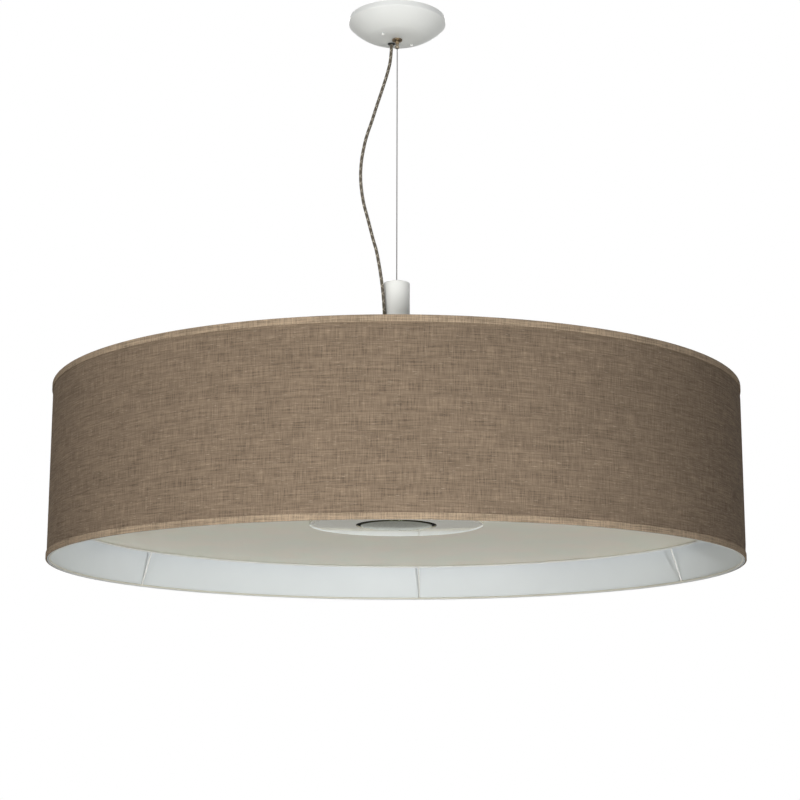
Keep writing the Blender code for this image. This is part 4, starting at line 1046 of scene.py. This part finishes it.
def makeStem(paint, brass, rubber):
    outer, low, high = reach("stem_tube")
    wall, edge, hole = stemSizes["wall"], stemSizes["edge"], stemSizes["hole"]
    roof = high - stemSizes["roof"]
    outline = [
        (hole, high, 0.0003),
        (outer, high, edge),
        (outer, low, 0.0003),
        (outer - wall, low, 0.0003),
        (outer - wall, roof, 0.0005),
        (hole, roof, 0.0003),
    ]
    lathed("stem_pipe", outline, 144, paint, "pendant", "stem_tube")

    outer, low, top = reach("stem_nipple")
    seat = top - stemSizes["flange"]
    bore, shank = stemSizes["bore"], stemSizes["shank"]
    outline = [
        (bore, top, 0.0003),
        (outer * 0.66, top, 0.0012),
        (outer, seat + stemSizes["flange"] * 0.5, 0.0008),
        (outer, seat, 0.0002),
        (shank, seat, 0.0002),
        (shank, low, 0.0004),
        (bore, low, 0.0003),
    ]
    lathed("stem_nipple_turned", outline, 64, paint, "pendant", "stem_nipple")

    outer, low, top = reach("wire_ferrule")
    middle = (low + top) / 2
    waist = outer - 0.0005
    outline = [(0, low), (outer, low, 0.0004)]
    for share in (-0.25, 0.25):
        spot = middle + (top - low) * share
        outline += [(outer, spot - 0.0009, 0.0003), (waist, spot - 0.0005, 0.0002)]
        outline += [(waist, spot + 0.0005, 0.0002), (outer, spot + 0.0009, 0.0003)]
    outline += [(outer, top, 0.0004), (0, top)]
    lathed("wire_ferrule_crimped", outline, 48, brass, "ferrule", "wire_ferrule")

    foot, low, high, place = reachBeside("cord_relief")
    seat = high - stemSizes["reliefHeight"]
    step = seat + stemSizes["reliefFoot"]
    tip, shank, ribs = stemSizes["reliefTip"], stemSizes["reliefShank"], stemSizes["ribs"]
    outline = [(0, low), (shank, low, 0.0005), (shank, seat, 0.0002)]
    outline += [(foot, seat, 0.0003), (foot, step, 0.0006)]

    def taper(height):
        return foot + (tip - foot) * (height - step) / (high - step)

    for i in range(ribs):
        start = step + (high - step) * (0.12 + 0.82 * i / ribs)
        end = start + (high - step) * 0.055
        outline += [(taper(start), start, 0.0002), (taper(start) - 0.0008, start + 0.0002, 0.0002)]
        outline += [(taper(end) - 0.0008, end - 0.0002, 0.0002), (taper(end), end, 0.0002)]
    outline += [(tip, high, 0.0005), (0, high)]
    bm = placed(turned(eased(outline, 2), 48), Matrix.Translation(place))
    relief = piece("cord_relief_moulded", bm, rubber, "pendant", "cord_relief")
    print("stem made")
    return relief


# Canopy: a shallow spun dome with two cross-head screws

canopySizes = {
    "wall": 0.0012,
    "mouth": 0.0007,
    "side": 0.0085,
    "edge": 0.0022,
    "flat": 0.033,
    "bulge": 0.0032,
    "arc": 0.78,  # where its curve turns into the flat middle
    "rings": 24,
    "bendRings": 12,
    "hole": 0.0069,
}


def domeSide(outer, low, wall):
    widest, bottom = outer - wall, low + wall
    side, edge = canopySizes["side"], canopySizes["edge"]
    start = Vector((widest - edge, -side - edge))
    corner = Vector((canopySizes["flat"], bottom))
    chord = corner - start
    across = Vector((-chord.y, chord.x)).normalized()
    spots = [(widest - canopySizes["mouth"], 0.0, 0.0003), (widest, -side, 0.0016)]
    spots.append((start.x, start.y, 0.0012))
    for i in range(1, canopySizes["rings"] + 1):
        share = canopySizes["arc"] * i / canopySizes["rings"]
        last = start + chord * share + across * canopySizes["bulge"] * 4 * share * (1 - share)
        spots.append(tuple(last))
    inner = corner - Vector(((last - corner).length, 0))
    for i in range(1, canopySizes["bendRings"] + 1):
        share = i / canopySizes["bendRings"]
        bend = last * (1 - share) ** 2 + corner * 2 * share * (1 - share) + inner * share**2
        spots.append(tuple(bend))
    spots.append((canopySizes["hole"], bottom, 0.0002))
    return spots


def makeCanopy(paint):
    outer, low, _ = reach("canopy_shell")
    outline = domeSide(outer, low, 0) + domeSide(outer, low, canopySizes["wall"])[::-1]
    lathed("canopy_spun", outline, 192, paint, "canopy", "canopy_shell")
    print("canopy made")


def crossHead(radius, height, shank, length, sides=32):
    # A rounded screw head that looks up from z = 0, with a cross pressed into it, and its shank below.
    outline = [(0, -length), (shank, -length, 0.0003), (shank, 0), (radius, 0, 0.0002)]
    outline += [(radius, height * 0.45, 0.0005), (radius * 0.62, height * 0.97, radius * 0.6), (0, height)]
    bm = turned(eased(outline), sides)
    width, arm, depth = radius * 0.15, radius * 0.62, height * 0.55
    for axis in (0, 1):
        for spot in (-arm, -width, width, arm):
            normal = Vector((axis == 0, axis == 1, 0))
            bmesh.ops.bisect_plane(
                bm,
                geom=bm.verts[:] + bm.edges[:] + bm.faces[:],
                dist=mergeGap,
                plane_co=normal * spot,
                plane_no=normal,
            )
    pressed = []
    for face in bm.faces:
        centre = face.calc_center_median()
        x, y = sorted((abs(centre.x), abs(centre.y)))
        if face.normal.z > 0.2 and centre.z > height * 0.5 and x < width and y < arm:
            pressed.append(face)
    made = bmesh.ops.extrude_face_region(bm, geom=pressed)
    sunk = [item for item in made["geom"] if isinstance(item, bmesh.types.BMVert)]
    bmesh.ops.translate(bm, verts=sunk, vec=(0, 0, -depth))
    bmesh.ops.recalc_face_normals(bm, faces=bm.faces)
    return bm


screwSizes = {
    "canopyHead": 0.0018,
    "canopyShank": 0.0015,
    "boxHead": 0.0024,
    "boxShank": 0.0020,
    "turns": (0.5, 1.2, 0.2, 2.0, 1.5),
}


def makeScrews(paint, zinc):
    places = [("canopy_screw_1", -1), ("canopy_screw_2", -1)]
    places += [(f"box_screw_{number}", 1) for number in (1, 2, 3)]
    for (name, faces), turn in zip(places, screwSizes["turns"]):
        low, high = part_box(name)
        middle = (low + high) / 2
        kind, material, body = ("canopy", paint, "canopy") if faces < 0 else ("box", zinc, "pendant")
        head, shank = screwSizes[kind + "Head"], screwSizes[kind + "Shank"]
        radius = (high.x - low.x) / 2
        bm = crossHead(radius, head, shank, high.z - low.z - head)
        seat = low.z + head if faces < 0 else high.z - head
        flip = Matrix.Rotation(math.pi if faces < 0 else 0, 4, "X")
        spin = Matrix.Rotation(turn, 4, "Z")
        placed(bm, Matrix.Translation((middle.x, middle.y, seat)) @ spin @ flip)
        piece(f"{name}_cross", bm, material, body, name)
    print("screws made")


# Wire gripper: collar, ball body, release nozzle, and the cord's rubber grommet

gripperSizes = {
    "flange": 0.0025,
    "shank": 0.0066,
    "shankBore": 0.0054,
    "throat": 0.0040,
    "mouth": 0.0050,
    "mouthDepth": 0.00125,
    "ball": 0.0050,
    "fit": 0.0003,
    "guide": 0.0031,
    "guideBore": 0.0024,
    "guideDepth": 0.0040,
    "barrel": 0.0036,
    "cap": 0.0055,
    "capHeight": 0.0110,
    "nozzleTip": 0.0026,
    "nozzleTaper": 0.0013,
    "nozzleLength": 0.0040,
    "nozzleShank": 0.0021,
    "bore": 0.00105,
    "grommetBore": 0.0030,
    "grommetNeck": 0.0042,
    "grommetFlange": 0.0016,
    "grommetLip": 0.0052,
    "grommetTip": 0.0038,
    "grommetHead": 0.0045,
}


def makeGripper(brass, nickel, rubber):
    size = gripperSizes
    outer, low, high = reach("gripper_collar")
    seat = low + size["flange"]
    throat = low + size["mouthDepth"]
    outline = [
        (size["mouth"], low, 0.0003),
        (outer - 0.0007, low, 0.0005),
        (outer, low + 0.0006, 0.0005),
        (outer, seat, 0.0004),
        (size["shank"], seat),
        (size["shank"], high, 0.0004),
        (size["shankBore"], high, 0.0003),
        (size["shankBore"], throat),
        (size["throat"], throat, 0.0002),
    ]
    lathed("gripper_collar_turned", outline, 96, brass, "canopy", "gripper_collar")

    _, low, high = reach("gripper_body")
    ball = size["ball"]
    height = throat + math.sqrt((ball + size["fit"]) ** 2 - size["throat"] ** 2)
    first, last = math.asin(size["guide"] / ball), math.pi - math.asin(size["barrel"] / ball)
    sphere = []
    for i in range(21):
        turn = first + (last - first) * i / 20
        sphere.append((ball * math.sin(turn), height - ball * math.cos(turn)))
    capLow = high - size["capHeight"]
    floor = low + size["guideDepth"]
    outline = [(size["bore"], floor), (size["guideBore"], floor), (size["guideBore"], low, 0.0002)]
    outline += [(size["guide"], low, 0.0004), *sphere]
    outline += [(size["barrel"], capLow), (size["cap"], capLow, 0.0004), (size["cap"], high, 0.0006)]
    outline += [(size["bore"], high, 0.0003)]
    lathed("gripper_body_turned", outline, 96, brass, "gripper", "gripper_body")

    outer, low, high = reach("release_nozzle")
    shoulder = low + size["nozzleLength"]
    outline = [
        (size["bore"], low, 0.0003),
        (size["nozzleTip"], low, 0.0006),
        (outer, low + size["nozzleTaper"], 0.0006),
        (outer, shoulder, 0.0004),
        (size["nozzleShank"], shoulder, 0.0002),
        (size["nozzleShank"], high, 0.0003),
        (size["bore"], high, 0.0003),
    ]
    lathed("release_nozzle_turned", outline, 80, nickel, "release_nozzle", "release_nozzle")

    outer, low, high, place = reachBeside("cord_grommet")
    seat = low + size["grommetFlange"]
    lip = high - size["grommetHead"]
    outline = [
        (0, low),
        (size["grommetBore"], low, 0.0004),
        (outer * 0.8, low + 0.0001, 0.0008),
        (outer, seat - 0.0006, 0.0005),
        (outer, seat, 0.0002),
        (size["grommetNeck"], seat),
        (size["grommetNeck"], lip),
        (size["grommetLip"], lip, 0.0002),
        (size["grommetTip"], high, 0.0005),
        (0, high),
    ]
    bm = placed(turned(eased(outline), 64), Matrix.Translation(place))
    grommet = piece("cord_grommet_moulded", bm, rubber, "canopy", "cord_grommet")
    print("gripper made")
    return grommet


springSizes = {"wire": 0.00025, "curls": 5, "pointsPerCurl": 20, "sides": 10}


def makeSpring(steel):
    # A coil that fills the spring's box; on the real gripper it gets shorter as the nozzle pushes the
    # collet up.
    low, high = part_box("gripper_spring")
    wire, points = springSizes["wire"], springSizes["pointsPerCurl"]
    count = springSizes["curls"] * points
    radius, first, last = high.x - wire, low.z + wire, high.z - wire
    line = []
    for i in range(count + 1):
        line.append(polar(radius, math.tau * i / points, first + (last - first) * i / count))
    bm = evenTube(line, wire, springSizes["sides"])
    coil = piece("gripper_spring_coil", bm, steel, None, "gripper_spring")
    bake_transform(coil)
    print("spring made", round(last - first, 5))


# Junction box under the hub, with three lampholders and opal bulbs

boxSizes = {
    "wall": 0.0015,
    "fit": 0.0003,
    "bulbs": 3,
    "firstBulb": math.radians(54.5),
    "axisBelowTop": 0.025,
    "conduit": 0.0050,
    "entry": -0.0075,
    "neckRadius": 0.0135,
    "neck": 0.014,
    "floor": 0.020,
    "holderRadius": 0.0190,
    "holderLength": 0.050,
    "holderBore": 0.0140,
    "capRadius": 0.0131,
    "capTip": 0.0080,
    "capTaper": 0.0040,
    "bulbNeckRadius": 0.0172,
    "bulbNeck": 0.024,
    "shoulder": 0.0240,
    "bulbRadius": 0.0300,
    "bulbDome": 0.054,
}


def makeBox(paint):
    outer, low, high = reach("junction_box")
    wall = boxSizes["wall"]
    outline = [
        (boxSizes["conduit"] + boxSizes["fit"], low, 0.0002),
        (outer, low, 0.0022),
        (outer, high, 0.0003),
        (outer - wall, high, 0.0003),
        (outer - wall, low + wall, 0.0012),
        (boxSizes["conduit"] + boxSizes["fit"], low + wall, 0.0002),
    ]
    lathed("junction_box_can", outline, 128, paint, "pendant", "junction_box")
    outer, low, high = reach("box_lid")
    outline = [(0, low), (outer, low, 0.0004), (outer, high, 0.0005), (0, high)]
    lathed("box_lid_disc", outline, 128, paint, "pendant", "box_lid")
    print("box made")


def makeBulbs(plastic, opal):
    size = boxSizes
    boxOuter, _, boxTop = reach("junction_box")
    holder = [
        (0, size["entry"]),
        (size["conduit"], size["entry"], 0.0005),
        (size["conduit"], 0),
        (size["neckRadius"], 0, 0.0008),
        (size["neckRadius"], size["neck"], 0.0010),
        (size["holderRadius"], size["floor"], 0.0015),
    ]
    groove = size["holderRadius"] - 0.0007
    for i in range(3):
        spot = size["floor"] + 0.006 + 0.006 * i
        holder += [(size["holderRadius"], spot, 0.0002), (groove, spot + 0.0005, 0.0002)]
        holder += [(groove, spot + 0.0015, 0.0002), (size["holderRadius"], spot + 0.0020, 0.0002)]
    holder += [
        (size["holderRadius"], size["holderLength"], 0.0012),
        (size["holderBore"], size["holderLength"], 0.0006),
        (size["holderBore"], size["floor"]),
        (0, size["floor"]),
    ]
    neckLow = size["holderLength"] + size["fit"]
    neckTop = neckLow + size["bulbNeck"]
    capLow = size["floor"] + size["fit"]
    base = [
        (0, capLow),
        (size["capTip"], capLow, 0.0005),
        (size["capRadius"], capLow + size["capTaper"], 0.0005),
        (size["capRadius"], neckLow),
        (size["bulbNeckRadius"], neckLow, 0.0008),
        (size["bulbNeckRadius"] + 0.0003, neckLow + 0.006, 0.004),
        (size["shoulder"], neckTop, 0.0006),
        (0, neckTop),
    ]
    domeLow = neckTop + size["fit"]
    dome = [(0, domeLow), (size["shoulder"], domeLow, 0.0003)]
    swell = math.acos(size["shoulder"] / size["bulbRadius"])
    for i in range(1, 29):
        turn = -swell + (swell + math.pi / 2) * i / 28
        rise = (math.sin(turn) + math.sin(swell)) / (1 + math.sin(swell))
        radius = size["bulbRadius"] * math.cos(turn) if i < 28 else 0
        dome.append((radius, domeLow + size["bulbDome"] * rise))
    for number, turn in enumerate(around(size["bulbs"], size["firstBulb"]), 1):
        seat = polar(boxOuter + size["fit"], turn, boxTop - size["axisBelowTop"])
        lying = Matrix.Rotation(turn, 4, "Z") @ Matrix.Rotation(math.pi / 2, 4, "Y")
        for name, outline, material in (
            ("lampholder", holder, plastic), ("bulb_base", base, plastic), ("bulb_dome", dome, opal),
        ):
            bm = placed(turned(eased(outline, 3), 64), Matrix.Translation(seat) @ lying)
            piece(f"{name}_{number}_turned", bm, material, "pendant", f"{name}_{number}")
    print("bulbs made")


# Materials, by the record's slot names


def makeMaterials():
    for old in bpy.data.materials:
        old.name = f"cad_{old.name}"
    weave, skin, metal = makeWeave(), makeSkin(), makeMetal()
    made = {}

    def cloth(name, base, pale, dark, thread, contrast, distance):
        values = {"Base": base, "Pale": pale, "Dark": dark, "Thread": thread, "Contrast": contrast}
        dry = {"Roughness": 0.95, "Specular_IOR_Level": 0.12}
        made[name] = dressed(name, weave, values, distance, "weave", **dry)

    # name, base, pale slubs, dark flecks, thread, contrast, relief
    warm = (0.182, 0.135, 0.094), (0.43, 0.345, 0.26), (0.080, 0.055, 0.038)
    fair = (0.282, 0.215, 0.149), (0.45, 0.37, 0.275), (0.13, 0.09, 0.055)
    cloth("linen_fabric", *warm, 0.00072, 2.95, 0.00034)
    cloth("linen_trim", *fair, 0.00066, 3.0, 0.00026)

    def skinned(name, base, rough, grain, dust, distance, **constants):
        values = {"Base": base, "Rough": rough, "Grain": grain, "Dust": dust}
        made[name] = dressed(name, skin, values, distance, **constants)

    # name, colour, roughness, grain, dust, relief
    skinned("white_liner", (0.765, 0.805, 0.825), 0.55, 300.0, 0.2, 0.00003)
    skinned("opal_diffuser", (0.80, 0.757, 0.627), 0.34, 120.0, 0.3, 0.00003, Specular_IOR_Level=0.5)
    clouded(made["opal_diffuser"], (0.97, 1.0, 0.985, 1.0), (1.02, 0.985, 0.975, 1.0), 16.0)
    coat = {"Coat_Weight": 1.0, "Coat_Roughness": 0.03}
    skinned("gloss_white", (0.92, 0.865, 0.67), 0.06, 160.0, 0.3, 0.000006, **coat)
    skinned("white_paint", (0.74, 0.74, 0.715), 0.36, 700.0, 0.6, 0.00003)
    skinned("canopy_white", (0.775, 0.785, 0.77), 0.34, 600.0, 0.6, 0.00002)
    skinned("screw_white", (0.85, 0.85, 0.83), 0.30, 900.0, 0.5, 0.00001)
    skinned("black_rubber", (0.020, 0.020, 0.021), 0.55, 1600.0, 1.0, 0.00003)
    skinned("white_plastic", (0.78, 0.78, 0.75), 0.40, 900.0, 0.4, 0.00002)
    glow = {"Subsurface_Weight": 0.15, "Subsurface_Scale": 0.004}
    skinned("opal_bulb", (0.88, 0.88, 0.86), 0.30, 200.0, 0.2, 0.00001, **glow)

    def plated(name, base, tarnish, rough, distance, **constants):
        values = {"Base": base, "Tarnish": tarnish, "Rough": rough}
        made[name] = dressed(name, metal, values, distance, **{"Metallic": 1.0, **constants})

    # name, colour, tarnish, roughness, relief
    plated("zinc_steel", (0.56, 0.56, 0.55), (0.42, 0.43, 0.45), 0.34, 0.00002)
    plated("steel_wire", (0.075, 0.072, 0.067), (0.045, 0.042, 0.04), 0.34, 0.00001)
    plated("aged_brass", (0.36, 0.28, 0.18), (0.14, 0.105, 0.075), 0.30, 0.00002)
    plated("nickel", (0.42, 0.36, 0.28), (0.26, 0.21, 0.16), 0.28, 0.00001)
    plated("lamp_silver", (0.60, 0.60, 0.57), (0.45, 0.45, 0.43), 0.38, 0.00002)
    plated("satin_lens", (0.44, 0.45, 0.34), (0.36, 0.365, 0.28), 0.12, 0.0000012, Metallic=0.95)
    made["textile_cord"] = makeBraidMaterial()
    print("materials made:", len(made))
    return made


def dressCad(materials):
    # CAD pieces that stay in view take the finish of their slot.
    slots = {row["node"]: row["material_slot"] for row in frame["record"]["subparts"]}
    for name, held in frame["nodes"].items():
        if not held.hide_render:
            held.material_slots[0].link = "OBJECT"
            held.material_slots[0].material = materials[slots[name]]


# Plain studio: a pale floor, a large soft light in front and gentle fills

studioSizes = {
    "floorHeight": -2.4,
    "floorRadius": 30.0,
    "floorColour": (0.80, 0.80, 0.79),
    "fillStrength": 0.16,
    "floorSeen": 0.72,  # how much whiter the floor is to the camera
    "floorMirrored": 0.12,
}

studioLights = (
    # name, place, aimed at, width, height, watts, spread in degrees, colour
    ("window_left", (-1.4, -2.3, -0.3), (0, 0, -0.6), 1.2, 0.9, 19.5, 140, (1.0, 0.99, 0.97)),
    ("lamp_right", (0.7, -2.7, -1.3), (0, 0, -0.7), 0.15, 0.15, 9.5, 90, (0.985, 0.995, 1.0)),
    ("lamp_left", (-0.8, -2.7, -1.3), (0, 0, -0.7), 0.2, 0.2, 3.1, 90, (1.0, 0.995, 0.98)),
    ("bounce_low", (0.05, -1.1, -1.42), (0, -0.4, -0.7), 0.7, 0.3, 2.6, 180, (1.0, 1.0, 1.0)),
    ("canopy_fill", (0.45, -0.45, -0.45), (0, 0, 0.0), 0.3, 0.3, 0.075, 50, (1.0, 1.0, 1.0)),
    ("back_soft", (0.0, 2.8, 1.7), (0, 0, -0.6), 2.0, 1.6, 42.0, 140, (1.0, 0.995, 0.985)),
)


def aimed(place, target):
    place, target = Vector(place), Vector(target)
    return Matrix.Translation(place) @ (target - place).to_track_quat("-Z", "Y").to_matrix().to_4x4()


def makeStudio():
    radius, height = studioSizes["floorRadius"], studioSizes["floorHeight"]
    bm = bmesh.new()
    place = Matrix.Translation((0, 0, height))
    bmesh.ops.create_circle(bm, cap_ends=True, segments=128, radius=radius, matrix=place)
    material, tree, shader = blank("studio_floor")
    marks = patches(tree, node(tree, "TexCoord").outputs["Object"], (0.6, 0.6, 0.6), 2.0)
    tone = between(tree, marks, 0.3, 0.7, 0.98, 1.0)
    colour = scaledColour(tree, (*studioSizes["floorColour"], 1.0), tone)
    tree.links.new(colour, shader.inputs["Base Color"])
    shader.inputs["Roughness"].default_value = 0.9
    path, whiter = node(tree, "LightPath"), studioSizes["floorSeen"]
    seen = times(tree, path.outputs["Is Camera Ray"], whiter)
    seen = plus(tree, seen, times(tree, path.outputs["Is Transmission Ray"], whiter))
    seen = plus(tree, seen, times(tree, path.outputs["Is Glossy Ray"], studioSizes["floorMirrored"]))
    shader.inputs["Emission Color"].default_value = (1.0, 1.0, 0.99, 1.0)
    tree.links.new(seen, shader.inputs["Emission Strength"])
    clear = tree.nodes.new("ShaderNodeBsdfTransparent")  # from below the floor is not there
    under = node(tree, "NewGeometry").outputs["Backfacing"]
    chosen = node(tree, "MixShader", {0: under, 1: shader.outputs[0], 2: clear.outputs[0]})
    tree.links.new(chosen.outputs[0], tree.nodes["Material Output"].inputs["Surface"])
    floor = kept("studio_floor", bm, material)
    for name, place, target, width, tall, watts, spread, colour in studioLights:
        light = bpy.data.lights.new(name, "AREA")
        light.shape = "RECTANGLE"
        light.size, light.size_y = width, tall
        light.energy = watts
        light.color = colour
        light.spread = math.radians(spread)
        held = bpy.data.objects.new(name, light)
        bpy.context.scene.collection.objects.link(held)
        held.matrix_world = aimed(place, target)
        held.visible_camera = False
        held.visible_glossy = name != "bounce_low"

    world = bpy.data.worlds.new("studio_world")
    bpy.context.scene.world = world
    world.use_nodes = True
    tree = world.node_tree
    tree.nodes.clear()
    path = node(tree, "LightPath")
    seen = calc(tree, "MAXIMUM", path.outputs["Is Camera Ray"], path.outputs["Is Glossy Ray"])
    seen = calc(tree, "MAXIMUM", seen, path.outputs["Is Transmission Ray"])
    plain = (1.0, 1.0, 1.0, 1.0)
    soft = node(tree, "Background", {"Color": plain, "Strength": studioSizes["fillStrength"]})
    white = node(tree, "Background", {"Color": plain, "Strength": 1.0})
    chosen = node(tree, "MixShader", {0: seen, 1: soft.outputs[0], 2: white.outputs[0]})
    tree.links.new(chosen.outputs[0], tree.nodes.new("ShaderNodeOutputWorld").inputs["Surface"])
    print("studio made")


def main():
    makeCamera()
    materials = makeMaterials()
    grommet = makeGripper(materials["aged_brass"], materials["nickel"], materials["black_rubber"])
    makeSpring(materials["steel_wire"])
    relief = makeStem(materials["white_paint"], materials["aged_brass"], materials["black_rubber"])
    makeCord(materials["textile_cord"], grommet, relief)
    makeWire(materials["steel_wire"])
    makeCanopy(materials["canopy_white"])
    makeScrews(materials["screw_white"], materials["zinc_steel"])
    makeFrames(materials["white_paint"])
    makeBox(materials["white_paint"])
    makeBulbs(materials["white_plastic"], materials["opal_bulb"])
    makePlate(materials["gloss_white"], materials["white_paint"])
    makeLamp(materials["satin_lens"], materials["lamp_silver"])
    makeDiffuser(materials["opal_diffuser"])
    makeLiner(materials["white_liner"])
    makeFabric(materials["linen_fabric"])
    makeTrims(materials["linen_trim"])
    dressCad(materials)
    makeStudio()


main()
